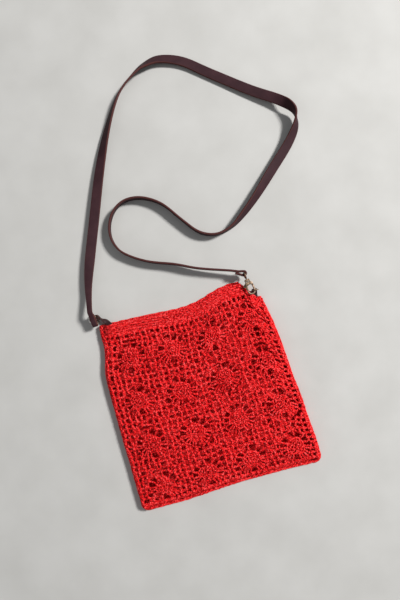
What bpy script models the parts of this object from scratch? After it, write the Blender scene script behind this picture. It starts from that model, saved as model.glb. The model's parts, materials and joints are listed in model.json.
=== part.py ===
"""Crocheted shoulder bag with a leather strap, lying on its back.

Metres, +Z up, +Y from the bag's bottom to its mouth, +X to the right across the front.
The origin is the middle of the pouch's flat underside.
"""

import math
from collections import namedtuple
from itertools import product

import bmesh
import bpy
from mathutils import Matrix, Vector

# The pouch; its width is the full one that each side draws in from by the shares in SIDES
BAG_WIDTH = 0.236
BAG_HEIGHT = 0.2375
POUCH_DEPTH = 0.0165
EDGE_DEPTH = 0.0105
WALL = 0.0025
GUSSET_BULGE = 0.0045
CORNER_RADIUS = 0.005
BAND_HEIGHT = 0.015
BAND_RIDGE = 0.0004
MOUTH_GAPE = 0.0045
BACK_RISE = 0.0035
SEAM_GAP = 0.0003

# The lace of the front: filet mesh with flowers in rows and columns
MESH_COLUMNS = 32
MESH_ROWS = 33
FLOWERS_ACROSS = 4
FLOWERS_UP = 4
FLOWER_PITCH = 8
FIRST_FLOWER_COLUMN = 4
FIRST_FLOWER_ROW = 1
PLAIN_STEP = 1.5
CLOSE_ROWS_ABOVE = 0.62

# Leather strap and tabs
STRAP_WIDTH = 0.0120
LEFT_END_WIDTH = 0.0062
RIGHT_END_WIDTH = 0.0080
STRAP_THICKNESS = 0.0024
LOOP_REACH = 0.300
END_TAPER = 0.070
TAIL_LENGTH = 0.012
FOLD_RUN = 0.016
LEFT_HEADING = (0.06, -0.97, -0.24)
RIGHT_HEADING = (0.93, -0.37, 0.0)
TAB_WIDTH = 0.0060
TAB_THICKNESS = 0.0012
TAB_TUCK = 0.016
TAB_TAIL = 0.0060
TAB_RISE = 0.0047
PLY_GAP = 0.0004

# Metal fittings, by the radius of their wire
FIT_GAP = 0.0003
RIGHT_RING_BEYOND = 0.0093
LEFT_RING_BEYOND = 0.0125
LEFT_RING_HEIGHT = 0.0078
RING_WIRE = 0.00075
LINK_WIRE = 0.0008
LINK_HALF_WIDTH = 0.0024
LINK_ASIDE = 0.0028
LINK_BEYOND = 0.0040
LINK_BAR_HEIGHT = 0.0112
EYE_WIRE = 0.0010
EYE_LENGTH = 0.0080
SHANK_RADIUS = 0.0009
SHANK_HEAD_RADIUS = 0.0017
SHANK_HEAD_HEIGHT = 0.0010
HOOK_WIRE = 0.0011
HOOK_LENGTH = 0.0196
HOOK_HALF_WIDTH = 0.0041
BODY_HALF_THICKNESS = 0.0021
COLLAR_LENGTH = 0.0022
COLLAR_HALF_WIDTH = 0.0030
LEVER_THICKNESS = 0.0016
LEVER_PIN_RADIUS = 0.0006
LEVER_ROOT_RADIUS = 0.0016
CLASP_YAW = math.radians(10)
SWIVEL_PLAY = math.radians(15)

Side = namedtuple("Side", "up left_in right_in")
# How far each side lies inside the full width, a share of BAG_WIDTH, up from the bottom
SIDES = (
    Side(0.00, 0.023, 0.000),
    Side(0.08, 0.021, 0.000),
    Side(0.17, 0.019, 0.006),
    Side(0.25, 0.017, 0.013),
    Side(0.39, 0.012, 0.022),
    Side(0.50, 0.010, 0.035),
    Side(0.61, 0.008, 0.043),
    Side(0.74, 0.011, 0.054),
    Side(0.87, 0.038, 0.070),
    Side(0.94, 0.037, 0.083),
    Side(1.00, 0.042, 0.096),
)

Hem = namedtuple("Hem", "across rise")
# The bottom's and the mouth's lines, as a share of BAG_HEIGHT
BOTTOM_LINE = (
    Hem(0.00, 0.000),
    Hem(0.10, 0.001),
    Hem(0.20, 0.002),
    Hem(0.33, 0.009),
    Hem(0.53, 0.022),
    Hem(0.83, 0.027),
    Hem(1.00, 0.024),
)
MOUTH_LINE = (
    Hem(0.00, -0.009),
    Hem(0.31, -0.027),
    Hem(0.50, -0.038),
    Hem(0.63, -0.024),
    Hem(0.77, 0.016),
    Hem(0.90, 0.030),
    Hem(0.935, 0.002),
    Hem(0.965, -0.042),
    Hem(1.00, -0.068),
)

Gape = namedtuple("Gape", "across open")
# How far the mouth's front stands off its back, a share of MOUTH_GAPE
MOUTH_OPENING = (
    Gape(0.00, 0.00),
    Gape(0.35, 0.05),
    Gape(0.55, 0.45),
    Gape(0.74, 1.00),
    Gape(0.85, 0.50),
    Gape(0.93, 0.12),
    Gape(1.00, 0.00),
)

Fold = namedtuple("Fold", "across up reach_across reach_up height")
# Dents and swells of the front: places and reaches as shares, heights as shares of POUCH_DEPTH
FOLDS = (
    Fold(0.060, 0.875, 0.018, 0.060, -0.26),
    Fold(0.020, 0.80, 0.020, 0.18, 0.10),
    Fold(0.075, 0.66, 0.018, 0.14, -0.10),
    Fold(0.86, 0.955, 0.045, 0.050, -0.17),
    Fold(0.70, 0.90, 0.10, 0.08, 0.08),
    Fold(0.25, 0.30, 0.14, 0.16, 0.07),
    Fold(0.55, 0.50, 0.10, 0.20, -0.07),
    Fold(0.80, 0.30, 0.12, 0.18, 0.06),
    Fold(0.42, 0.78, 0.12, 0.09, -0.06),
)

Gap = namedtuple("Gap", "column row wide tall turn aside")
# The larger gaps of one flower: mesh cells from its axis, shares of a cell, degrees, a sideways shift
FLOWER_GAPS = (
    Gap(0, 0, 0.60, 0.60, 0, 0.0),
    Gap(-2, 2, 0.64, 0.40, 20, 0.10),
    Gap(2, 2, 0.64, 0.40, -20, -0.10),
    Gap(-1, 3, 0.58, 0.36, 35, -0.08),
    Gap(1, 3, 0.58, 0.36, -35, 0.08),
    Gap(-1, 4, 0.56, 0.46, 30, 0.10),
    Gap(1, 4, 0.56, 0.46, -30, -0.10),
)

Way = namedtuple("Way", "across up raised lean")
# The strap's free run from its left end to its right: across as a share of BAG_WIDTH, up from the
# mouth's corner as a share of LOOP_REACH, raised off the floor as a share of STRAP_WIDTH, and the lean
# from flat in degrees
STRAP_WAY = (
    Way(-0.464, 0.135, 0.75, 0),
    Way(-0.447, 0.194, 0.60, 4),
    Way(-0.415, 0.272, 0.50, 8),
    Way(-0.342, 0.427, 0.45, 6),
    Way(-0.253, 0.613, 0.35, -12),
    Way(-0.160, 0.771, 0.20, -46),
    Way(-0.059, 0.902, 0.02, -64),
    Way(0.052, 0.974, 0.00, -61),
    Way(0.123, 0.999, 0.02, -42),
    Way(0.201, 1.006, 0.05, -22),
    Way(0.312, 0.975, 0.08, -8),
    Way(0.435, 0.901, 0.12, 0),
    Way(0.616, 0.790, 0.22, 6),
    Way(0.731, 0.725, 0.40, 16),
    Way(0.788, 0.679, 0.50, 56),
    Way(0.810, 0.640, 0.40, 94),
    Way(0.793, 0.590, 0.35, 131),
    Way(0.733, 0.529, 0.28, 156),
    Way(0.625, 0.447, 0.18, 160),
    Way(0.511, 0.360, 0.12, 134),
    Way(0.415, 0.297, 0.06, 116),
    Way(0.336, 0.258, 0.00, 95),
    Way(0.252, 0.247, 0.00, 90),
    Way(0.171, 0.274, 0.00, 90),
    Way(0.101, 0.340, 0.00, 88),
    Way(0.022, 0.421, 0.00, 88),
    Way(-0.069, 0.466, 0.00, 88),
    Way(-0.157, 0.474, 0.00, 86),
    Way(-0.227, 0.447, 0.00, 84),
    Way(-0.269, 0.396, 0.00, 84),
    Way(-0.280, 0.338, 0.00, 86),
    Way(-0.254, 0.282, 0.00, 88),
    Way(-0.192, 0.239, 0.00, 90),
    Way(-0.107, 0.202, 0.06, 90),
    Way(0.008, 0.169, 0.16, 90),
    Way(0.122, 0.128, 0.30, 90),
)


def clear_scene():
    for old in list(bpy.data.objects):
        bpy.data.objects.remove(old, do_unlink=True)


def make_material(name, colour, roughness, metallic):
    """A plain Principled material."""
    material = bpy.data.materials.new(name)
    material.use_nodes = True
    shader = material.node_tree.nodes["Principled BSDF"]
    shader.inputs["Base Color"].default_value = (*colour, 1.0)
    shader.inputs["Roughness"].default_value = roughness
    shader.inputs["Metallic"].default_value = metallic
    return material


def make_object(name, vertices, faces, material, parent=None):
    """One named object from its points and faces, with every face turned outward."""
    mesh = bpy.data.meshes.new(name)
    mesh.from_pydata([tuple(v) for v in vertices], [], faces)
    model = bmesh.new()
    model.from_mesh(mesh)
    bmesh.ops.recalc_face_normals(model, faces=model.faces)
    if model.calc_volume(signed=True) < 0:
        bmesh.ops.reverse_faces(model, faces=model.faces)
    model.to_mesh(mesh)
    model.free()
    mesh.set_sharp_from_angle(angle=math.radians(40))
    mesh.materials.append(material)
    made = bpy.data.objects.new(name, mesh)
    bpy.context.collection.objects.link(made)
    made.parent = parent
    return made


def combine(target, tool, operation):
    """Joins or cuts one object by another with an exact Boolean, then removes the tool."""
    step = target.modifiers.new("shape", "BOOLEAN")
    step.solver = "EXACT"
    step.operation = operation
    step.object = tool
    bpy.context.view_layer.update()
    graph = bpy.context.evaluated_depsgraph_get()
    mesh = bpy.data.meshes.new_from_object(target.evaluated_get(graph))
    target.modifiers.remove(step)
    mesh.name = target.name
    target.data = mesh
    bpy.data.objects.remove(tool, do_unlink=True)


def blend(first, second, share):
    return first + (second - first) * share


def smooth_step(share):
    share = min(max(share, 0.0), 1.0)
    return share * share * (3 - 2 * share)


def read_table(rows, column, place):
    """A smooth curve through one column of a table whose first column is the place."""
    places = [row[0] for row in rows]
    values = [getattr(row, column) for row in rows]
    place = min(max(place, places[0]), places[-1])
    last = len(rows) - 1
    k = min(max(sum(p <= place for p in places) - 1, 0), last - 1)

    def slope(i):
        low, high = max(i - 1, 0), min(i + 1, last)
        return (values[high] - values[low]) / (places[high] - places[low])

    span = places[k + 1] - places[k]
    t = (place - places[k]) / span
    start = (2 * t**3 - 3 * t**2 + 1) * values[k] + (t**3 - 2 * t**2 + t) * span * slope(k)
    end = (3 * t**2 - 2 * t**3) * values[k + 1] + (t**3 - t**2) * span * slope(k + 1)
    return start + end


def mouth_depth(across):
    """Height of the mouth's front over the floor: room for a folded tab, and the gape."""
    closed = 2 * WALL + 2 * TAB_THICKNESS + PLY_GAP + 2 * SEAM_GAP
    return closed + MOUTH_GAPE * read_table(MOUTH_OPENING, "open", across)


def hem_y(across, up):
    """The bag's rows, from the bottom line at up 0 to the mouth's line at up 1."""
    bottom = -BAG_HEIGHT / 2 + BAG_HEIGHT * read_table(BOTTOM_LINE, "rise", across)
    mouth = BAG_HEIGHT / 2 + BAG_HEIGHT * read_table(MOUTH_LINE, "rise", across)
    return blend(bottom, mouth, up)


def corner_inset(up):
    """How far the rounded lower corners pull a row in."""
    height = up * BAG_HEIGHT
    if height >= CORNER_RADIUS:
        return 0.0
    return CORNER_RADIUS - math.sqrt(CORNER_RADIUS**2 - (CORNER_RADIUS - height) ** 2)


def side_x(up, side):
    """The line where the panels end and the gusset begins, on side -1 or 1."""
    column = "left_in" if side < 0 else "right_in"
    inside = BAG_WIDTH * read_table(SIDES, column, up)
    return side * (BAG_WIDTH / 2 - inside - GUSSET_BULGE - corner_inset(up))


def face_point(across, up):
    """Plan position on the bag's face, inside the gusset."""
    left, right = side_x(up, -1), side_x(up, 1)
    low = GUSSET_BULGE * (1 - up)
    return Vector((blend(left, right, across), hem_y(across, up) + low))


def front_depth(across, up):
    """Height of the front's outer surface over the floor."""
    crown = (1 - (2 * across - 1) ** 4) * (1 - (1 - min(up / 0.35, 1.0)) ** 3)
    depth = EDGE_DEPTH + (POUCH_DEPTH - EDGE_DEPTH) * crown
    for fold in FOLDS:
        away = ((across - fold.across) / fold.reach_across) ** 2 + ((up - fold.up) / fold.reach_up) ** 2
        calm = smooth_step(up / 0.04)
        depth += POUCH_DEPTH * fold.height * calm * math.exp(-away)
    return blend(depth, mouth_depth(across), smooth_step((up - 0.72) / 0.28) ** 1.5)


def panel_rows():
    """Shares up the panel: a few rows round the lower corners, then the mesh rows to the band."""
    corner = CORNER_RADIUS / BAG_HEIGHT
    top = 1 - (BAND_HEIGHT + SEAM_GAP) / BAG_HEIGHT
    bends = [corner * (1 - math.cos(math.radians(a))) for a in (0, 40, 65, 90)]
    return bends + [blend(corner, top, (line - 1) / (MESH_ROWS - 2)) for line in row_lines()[1:]]


def panel_point(across, up):
    """Plan point of a panel, a seam's gap inside the gusset."""
    spot = face_point(across, up)
    spot.x -= SEAM_GAP * (2 * across - 1)
    spot.y += SEAM_GAP * (1 - up)
    return spot


def flower_gaps():
    """The gap for each pierced mesh cell, by column and row."""
    found = {}
    for i in range(FLOWERS_ACROSS):
        for j in range(FLOWERS_UP):
            for gap in FLOWER_GAPS:
                column = FIRST_FLOWER_COLUMN + i * FLOWER_PITCH + gap.column
                row = FIRST_FLOWER_ROW + j * FLOWER_PITCH + gap.row
                if 0 < column < MESH_COLUMNS - 1 and 0 < row < MESH_ROWS - 1:
                    found[column, row] = gap
    return found


def mesh_lines(pierced, first, last):
    """The grid's lines in mesh cells: both sides of each pierced cell, and wider steps between flowers."""
    edges = sorted({first, last} | {cell + side for cell in pierced for side in (0, 1)})
    lines = []
    for low, high in zip(edges, edges[1:]):
        steps = math.ceil((high - low) / PLAIN_STEP)
        lines += [blend(low, high, k / steps) for k in range(steps)]
    return lines + [last]


def column_lines():
    return mesh_lines({column for column, row in flower_gaps()}, 0, MESH_COLUMNS)


def row_lines():
    return mesh_lines({row for column, row in flower_gaps()}, 1, MESH_ROWS - 1)


def gap_outline(cell, gap):
    """Four points round one gap in a cell given by its four corners, from the lower left."""
    points = []
    turn = math.radians(gap.turn)
    for right, above in ((-1, -1), (1, -1), (1, 1), (-1, 1)):
        wide, tall = right * gap.wide / 2, above * gap.tall / 2
        u = 0.5 + gap.aside + wide * math.cos(turn) - tall * math.sin(turn)
        v = 0.5 + wide * math.sin(turn) + tall * math.cos(turn)
        low = cell[0].lerp(cell[1], u)
        high = cell[3].lerp(cell[2], u)
        points.append(low.lerp(high, v))
    return points


def front_panel(material):
    """The lace front: a crowned wall on the mesh's own grid, pierced in its flowers."""
    rows = panel_rows()
    columns, lines = column_lines(), row_lines()
    count = len(columns)
    outer, inner, faces = [], [], []
    for up in rows:
        for column in columns:
            across = column / MESH_COLUMNS
            plan = panel_point(across, up)
            height = front_depth(across, up)
            outer.append(Vector((plan.x, plan.y, height)))
            inner.append(Vector((plan.x, plan.y, height - WALL)))
    grid = len(outer)
    points = outer + inner
    gaps = flower_gaps()
    bends = len(rows) - len(lines)
    for j in range(len(rows) - 1):
        for i in range(count - 1):
            low = j * count + i
            corners = [low, low + 1, low + 1 + count, low + count]
            gap = gaps.get((columns[i], lines[j - bends])) if j >= bends else None
            if gap is None:
                faces.append(corners)
                faces.append([grid + k for k in reversed(corners)])
                continue
            add_pierced_cell(points, faces, corners, grid, gap)
    rim = [i for i in range(count)]
    rim += [j * count + count - 1 for j in range(1, len(rows))]
    rim += [(len(rows) - 1) * count + i for i in range(count - 2, -1, -1)]
    rim += [j * count for j in range(len(rows) - 2, 0, -1)]
    for a, b in zip(rim, rim[1:] + rim[:1]):
        faces.append([b, a, grid + a, grid + b])
    return make_object("front_panel", points, faces, material)


def add_pierced_cell(points, faces, corners, grid, gap):
    """One mesh cell of the front with a gap through it, between its outer and inner faces."""
    rings = []
    for level in (0, grid):
        cell = [points[k + level] for k in corners]
        rings.append(range(len(points), len(points) + 4))
        points.extend(gap_outline(cell, gap))
    outer, inner = rings
    for k in range(4):
        n = (k + 1) % 4
        faces.append([corners[k], corners[n], outer[n], outer[k]])
        faces.append([corners[n] + grid, corners[k] + grid, inner[k], inner[n]])
        faces.append([outer[k], outer[n], inner[n], inner[k]])


def rim_stations():
    """Shares (across, up) down the left side, along the bottom and up the right side."""
    rows = panel_rows()
    sides = rows[:4] + [up for k, up in enumerate(rows[4:]) if k % 2 or up > CLOSE_ROWS_ABOVE]
    across = [k / 12 for k in range(1, 12)]
    left = [(0.0, up) for up in reversed(sides)]
    return left + [(a, 0.0) for a in across] + [(1.0, up) for up in sides]


def back_panel(material):
    """The back, flat on the floor."""
    plan = [panel_point(across, up) for across, up in rim_stations()]
    top = panel_rows()[-1]
    plan += [panel_point(column / MESH_COLUMNS, top) for column in column_lines()[-2:0:-1]]
    low = [Vector((p.x, p.y, 0.0)) for p in plan]
    high = [Vector((p.x, p.y, WALL)) for p in plan]
    count = len(plan)
    faces = [list(range(count))[::-1], list(range(count, 2 * count))]
    for k in range(count):
        after = (k + 1) % count
        faces.append([k, after, count + after, count + k])
    return make_object("back_panel", low + high, faces, material)


def side_gusset(material):
    """A strip with a bulged section, down both sides and round the bottom."""
    stations = rim_stations()
    plan = [face_point(*station) for station in stations]
    points, faces = [], []
    steps = 4
    for k, (across, up) in enumerate(stations):
        before, after = plan[max(k - 1, 0)], plan[min(k + 1, len(plan) - 1)]
        along = (after - before).normalized()
        outward = Vector((along.y, -along.x))
        if k in (0, len(stations) - 1):
            outward = Vector((2 * across - 1, 0))
        edge = front_depth(across, up)
        for wall in (0.0, WALL):
            for n in range(steps + 1):
                angle = math.pi / 2 - math.pi * n / steps
                reach = (GUSSET_BULGE - wall) * math.cos(angle)
                height = edge / 2 + (edge / 2 - wall) * math.sin(angle)
                spot = plan[k] + outward * reach
                points.append(Vector((spot.x, spot.y, height)))
    ring = 2 * (steps + 1)
    order = list(range(steps + 1)) + list(range(ring - 1, steps, -1))
    for k in range(len(stations) - 1):
        for a, b in zip(order, order[1:] + order[:1]):
            faces.append([k * ring + a, k * ring + b, (k + 1) * ring + b, (k + 1) * ring + a])
    last = (len(stations) - 1) * ring
    for n in range(steps):
        a, b = n, n + 1
        faces.append([a, b, b + steps + 1, a + steps + 1])
        faces.append([last + b, last + a, last + a + steps + 1, last + b + steps + 1])
    return make_object("side_gusset", points, faces, material)


def top_band(material):
    """The dense band round the mouth: a ring, open between its front and back."""
    turn = 4
    along = [column / MESH_COLUMNS for column in column_lines()]
    path = [("front", share) for share in along]
    path += [("right", k / turn) for k in range(1, turn)]
    path += [("back", share) for share in reversed(along)]
    path += [("left", k / turn) for k in range(1, turn)]
    levels = (0.0, 0.62, 1.0)
    low = 1 - BAND_HEIGHT / BAG_HEIGHT
    points, faces = [], []
    for part, share in path:
        across = {"front": share, "right": 1.0, "back": share, "left": 0.0}[part]
        rise = {"front": 0.0, "right": share, "back": 1.0, "left": 1 - share}[part]
        for wall, order in ((0.0, levels), (WALL, levels[::-1])):
            for level in order:
                up = blend(low, 1.0, level)
                plan = face_point(across, up)
                lift = BACK_RISE * rise * level * math.sin(math.pi * across)
                edge = front_depth(across, up)
                ridge = BAND_RIDGE * (level == levels[1] and wall == 0.0)
                if part == "front":
                    spot = Vector((plan.x, plan.y, edge - wall + ridge))
                elif part == "back":
                    spot = Vector((plan.x, plan.y + lift, wall))
                else:
                    angle = math.pi / 2 - math.pi * (share if part == "right" else 1 - share)
                    side = 1 if part == "right" else -1
                    reach = side * (GUSSET_BULGE - wall) * math.cos(angle)
                    height = edge / 2 + (edge / 2 - wall) * math.sin(angle)
                    spot = Vector((plan.x + reach, plan.y, height))
                points.append(spot)
    ring = 2 * len(levels)
    count = len(path)
    for k in range(count):
        after = (k + 1) % count
        for a in range(ring):
            b = (a + 1) % ring
            faces.append([k * ring + a, k * ring + b, after * ring + b, after * ring + a])
    return make_object("top_band", points, faces, material)


def smooth_path(points, steps, closed=False):
    """Points of a Catmull-Rom curve through the given vectors."""
    count = len(points)
    spans = count if closed else count - 1
    result = []
    for k in range(spans):
        if closed:
            p = [points[(k + n) % count] for n in (-1, 0, 1, 2)]
        else:
            p = [points[min(max(k + n, 0), count - 1)] for n in (-1, 0, 1, 2)]
        for step in range(steps):
            t = step / steps
            bend = (2 * p[0] - 5 * p[1] + 4 * p[2] - p[3]) * t * t
            cubic = (3 * p[1] - p[0] - 3 * p[2] + p[3]) * t**3
            result.append((2 * p[1] + (p[2] - p[0]) * t + bend + cubic) / 2)
    if not closed:
        result.append(points[-1].copy())
    return result


def tangents(points, closed=False):
    count = len(points)
    found = []
    for k in range(count):
        before = points[k - 1] if closed or k else points[0]
        after = points[(k + 1) % count] if closed else points[min(k + 1, count - 1)]
        found.append((after - before).normalized())
    return found


def tube(name, points, radius, material, parent=None, closed=True, sides=8):
    """A round wire along a path; radius is a number or a list along the path."""
    radii = radius if isinstance(radius, list) else [radius] * len(points)
    along = tangents(points, closed)
    first = Vector((0, 0, 1)) if abs(along[0].z) < 0.9 else Vector((1, 0, 0))
    normal = (first - along[0] * first.dot(along[0])).normalized()
    normals = [normal]
    for t in along[1:]:
        normal = (normal - t * normal.dot(t)).normalized()
        normals.append(normal)
    twist = 0.0
    if closed:
        back = (normal - along[0] * normal.dot(along[0])).normalized()
        twist = math.atan2(back.cross(normals[0]).dot(along[0]), back.dot(normals[0]))
    rings, faces = [], []
    count = len(points)
    for k, (spot, t, n) in enumerate(zip(points, along, normals)):
        side = t.cross(n)
        for m in range(sides):
            angle = 2 * math.pi * m / sides + twist * k / count
            rings.append(spot + (n * math.cos(angle) + side * math.sin(angle)) * radii[k])
    for k in range(count if closed else count - 1):
        after = (k + 1) % count
        for m in range(sides):
            b = (m + 1) % sides
            faces.append([k * sides + m, k * sides + b, after * sides + b, after * sides + m])
    if not closed:
        faces.append(list(range(sides))[::-1])
        faces.append([(count - 1) * sides + m for m in range(sides)])
    return make_object(name, rings, faces, material, parent)


Station = namedtuple("Station", "spot side width")


def ribbon(name, stations, thickness, material):
    """A flat strip through its stations, each with a middle point, a side direction and a width."""
    along = tangents([s.spot for s in stations])
    points, faces = [], []
    for station, t in zip(stations, along):
        side = (station.side - t * station.side.dot(t)).normalized()
        across = t.cross(side)
        for a, b in ((-1, -1), (1, -1), (1, 1), (-1, 1)):
            points.append(station.spot + side * (a * station.width / 2) + across * (b * thickness / 2))
    for k in range(len(stations) - 1):
        for m in range(4):
            b = (m + 1) % 4
            faces.append([4 * k + m, 4 * k + b, 4 * k + 4 + b, 4 * k + 4 + m])
    faces.append([3, 2, 1, 0])
    last = 4 * len(stations) - 4
    faces.append([last, last + 1, last + 2, last + 3])
    return make_object(name, points, faces, material)


Frame = namedtuple("Frame", "spot side face width")


def fold_back(frames, wire, thickness, tail):
    """Stations of a strip that goes round a bar at the last frame and back along itself by tail."""
    loop = wire + FIT_GAP + thickness / 2
    flat = (thickness + PLY_GAP) / 2
    bar = frames[-1]
    out = (bar.spot - frames[-2].spot).normalized()

    def offset(frame):
        return blend(loop, flat, smooth_step((frame.spot - bar.spot).length / (3.2 * loop)))

    stations = [Station(f.spot + f.face * offset(f), f.side, f.width) for f in frames]
    for k in range(1, 6):
        angle = math.pi * k / 6
        around = bar.face * math.cos(angle) + out * math.sin(angle)
        stations.append(Station(bar.spot + around * loop, bar.side, bar.width))
    for f in reversed(frames):
        if (f.spot - bar.spot).length <= tail:
            stations.append(Station(f.spot - f.face * offset(f), f.side, f.width))
    return stations


def straight_frames(bar, out, side, face, width):
    """Frames along a strap end's straight run to its bar; face points to the upper ply."""
    steps = 8
    return [Frame(bar - out * FOLD_RUN * (1 - k / steps), side, face, width) for k in range(steps + 1)]


def mouth_corner(side):
    """The mouth's outer corner on side -1 or 1, in plan."""
    across = 0.0 if side < 0 else 1.0
    spot = face_point(across, 1.0)
    return Vector((spot.x + side * GUSSET_BULGE, spot.y, 0.0))


def tab_level():
    """Height of a tab's middle between the mouth's front and back."""
    return WALL + SEAM_GAP + TAB_THICKNESS + PLY_GAP / 2


def right_ring_bar():
    """Middle of the right ring's bar: beyond the mouth's corner, above the tab's exit."""
    corner = mouth_corner(1)
    inset = WALL + 0.0010 + TAB_WIDTH / 2
    lift = RING_WIRE + FIT_GAP + TAB_THICKNESS
    return Vector((corner.x - inset, corner.y + RIGHT_RING_BEYOND, tab_level() + lift))


def left_ring_bar():
    """Middle of the left ring's upright bar, up and left of the mouth's corner."""
    corner = mouth_corner(-1)
    return Vector((corner.x, corner.y + LEFT_RING_BEYOND, ring_half_width() + RING_WIRE + FIT_GAP))


def ring_half_width():
    return TAB_WIDTH / 2 + FIT_GAP + RING_WIRE


def swivel_lift():
    """How far the hook's side bars rise and fall in the swivel's play."""
    return (HOOK_HALF_WIDTH + HOOK_WIRE) * math.sin(SWIVEL_PLAY)


def clasp_level():
    """Height of the clasp's middle, clear of the mouth's front through its swivel's play."""
    return mouth_depth(0.93) + SEAM_GAP + swivel_lift() + BODY_HALF_THICKNESS * math.cos(SWIVEL_PLAY)


def ring_height():
    """From the right ring's bar to the top of its arch, with room for the hook to rise inside."""
    above = HOOK_WIRE + swivel_lift() + FIT_GAP + RING_WIRE
    return clasp_level() + above - right_ring_bar().z


def clasp_origin():
    """The clasp's swivel point: its hook's right bar then passes through the right ring."""
    bar = right_ring_bar()
    reach = Vector((HOOK_HALF_WIDTH, -HOOK_LENGTH + 0.0033, 0.0))
    reach.rotate(Matrix.Rotation(CLASP_YAW, 3, "Z"))
    return Vector((bar.x - reach.x, bar.y - reach.y, clasp_level()))


def eye_bar():
    """Middle of the swivel eye's upright bar, which the strap's right end goes round."""
    reach = Vector((0.0, EYE_LENGTH, 0.0))
    reach.rotate(Matrix.Rotation(CLASP_YAW, 3, "Z"))
    return clasp_origin() + reach


def link_bar():
    """Middle of the left link's bar, which the strap's left end goes round."""
    corner = mouth_corner(-1)
    return Vector((corner.x - LINK_ASIDE, corner.y + LINK_BEYOND, LINK_BAR_HEIGHT))


def strap(material):
    """One leather strip, with a narrow folded end round the link's bar and the eye's bar."""
    bars = []
    left_out = Vector(LEFT_HEADING).normalized()
    left_side = left_out.cross(Vector((0, 0, 1))).normalized()
    left_face = left_side.cross(left_out)
    left = straight_frames(link_bar(), left_out, left_side, left_face, LEFT_END_WIDTH)
    bars.append(fold_back(left, LINK_WIRE, STRAP_THICKNESS, TAIL_LENGTH))
    right_out = Vector(RIGHT_HEADING).normalized()
    upright = Vector((0, 0, 1))
    right_face = upright.cross(right_out)
    right = straight_frames(eye_bar(), right_out, upright, right_face, RIGHT_END_WIDTH)
    bars.append(fold_back(right, EYE_WIRE, STRAP_THICKNESS, TAIL_LENGTH))
    start, end = bars[0][0].spot, bars[1][0].spot
    corner = mouth_corner(-1)
    spots, leans = [start], [0.0]
    for way in STRAP_WAY:
        lean = math.radians(way.lean)
        seat = abs(math.sin(lean)) * STRAP_WIDTH / 2 + abs(math.cos(lean)) * STRAP_THICKNESS / 2
        height = seat + FIT_GAP + way.raised * STRAP_WIDTH
        spots.append(Vector((way.across * BAG_WIDTH, corner.y + way.up * LOOP_REACH, height)))
        leans.append(way.lean)
    spots.append(end)
    leans.append(90.0)
    spacing = 3
    path = smooth_path([start - left_out * -0.006] + spots + [end + right_out * 0.006], spacing)
    path = path[spacing:-spacing]
    angles = smooth_path([Vector((a, 0, 0)) for a in leans], spacing)
    lengths = [0.0]
    for a, b in zip(path, path[1:]):
        lengths.append(lengths[-1] + (b - a).length)
    middle = []
    for k, (spot, t) in enumerate(zip(path, tangents(path))):
        level = Vector((-t.y, t.x, 0)).normalized()
        side = level.copy()
        side.rotate(Matrix.Rotation(math.radians(angles[k].x), 3, t))
        left_share = smooth_step(lengths[k] / END_TAPER)
        right_share = smooth_step((lengths[-1] - lengths[k]) / END_TAPER)
        width = blend(LEFT_END_WIDTH, STRAP_WIDTH, left_share) if left_share < 1 else STRAP_WIDTH
        width = min(width, blend(RIGHT_END_WIDTH, STRAP_WIDTH, right_share))
        middle.append(Station(spot, side, width))
    return ribbon("strap", bars[0][::-1] + middle[1:-1] + bars[1], STRAP_THICKNESS, material)


def tab_right(material):
    """A flat folded tab from inside the mouth's right corner, round the right ring's bar."""
    bar = right_ring_bar()
    low = tab_level()
    side = Vector((-1, 0, 0))
    reach = TAB_TUCK + RIGHT_RING_BEYOND
    spots = []
    for k in range(13):
        back = reach * (1 - k / 12)
        height = blend(bar.z, low, smooth_step(back / TAB_RISE))
        spots.append(Vector((bar.x - 0.08 * back, bar.y - back, height)))
    frames = [Frame(s, side, t.cross(side).normalized(), TAB_WIDTH) for s, t in zip(spots, tangents(spots))]
    stations = fold_back(frames, RING_WIRE, TAB_THICKNESS, TAB_TAIL)
    return ribbon("tab_right", stations, TAB_THICKNESS, material)


def tab_left(material):
    """A folded tab from inside the mouth's left corner that turns on edge to the left ring's bar."""
    bar = left_ring_bar()
    corner = mouth_corner(-1)
    points = [
        Vector((corner.x + 0.0240, corner.y - TAB_TUCK, tab_level())),
        Vector((corner.x + 0.0165, corner.y - 0.0060, tab_level())),
        Vector((corner.x + 0.0110, corner.y + 0.0020, tab_level())),
        bar + Vector((0.0042, -0.0046, 0.0)),
        bar,
    ]
    path = smooth_path(points, 6)
    frames = []
    for k, (spot, t) in enumerate(zip(path, tangents(path))):
        turn = smooth_step((k - 11) / 7) * math.pi / 2
        side = Vector((-t.y, t.x, 0)).normalized()
        side.rotate(Matrix.Rotation(turn, 3, t))
        frames.append(Frame(spot, side, t.cross(side).normalized(), TAB_WIDTH))
    stations = fold_back(frames, RING_WIRE, TAB_THICKNESS, TAB_TAIL)
    return ribbon("tab_left", stations, TAB_THICKNESS, material)


def d_ring(name, bar, along, up, height, material):
    """A closed D of round wire: a straight bar and an arch that stands out from it by height."""
    half = ring_half_width()
    corner = 0.0010
    points = [
        along * -(half - corner),
        along * (half - corner),
        along * (half - corner * 0.3) + up * corner * 0.3,
        along * half + up * corner,
    ]
    straight = height - half
    for k in range(9):
        angle = math.pi * k / 8
        points.append(along * half * math.cos(angle) + up * (straight + half * math.sin(angle)))
    points += [along * -half + up * corner, along * -(half - corner * 0.3) + up * corner * 0.3]
    return tube(name, [bar + p for p in points], RING_WIRE, material, sides=6)


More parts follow.
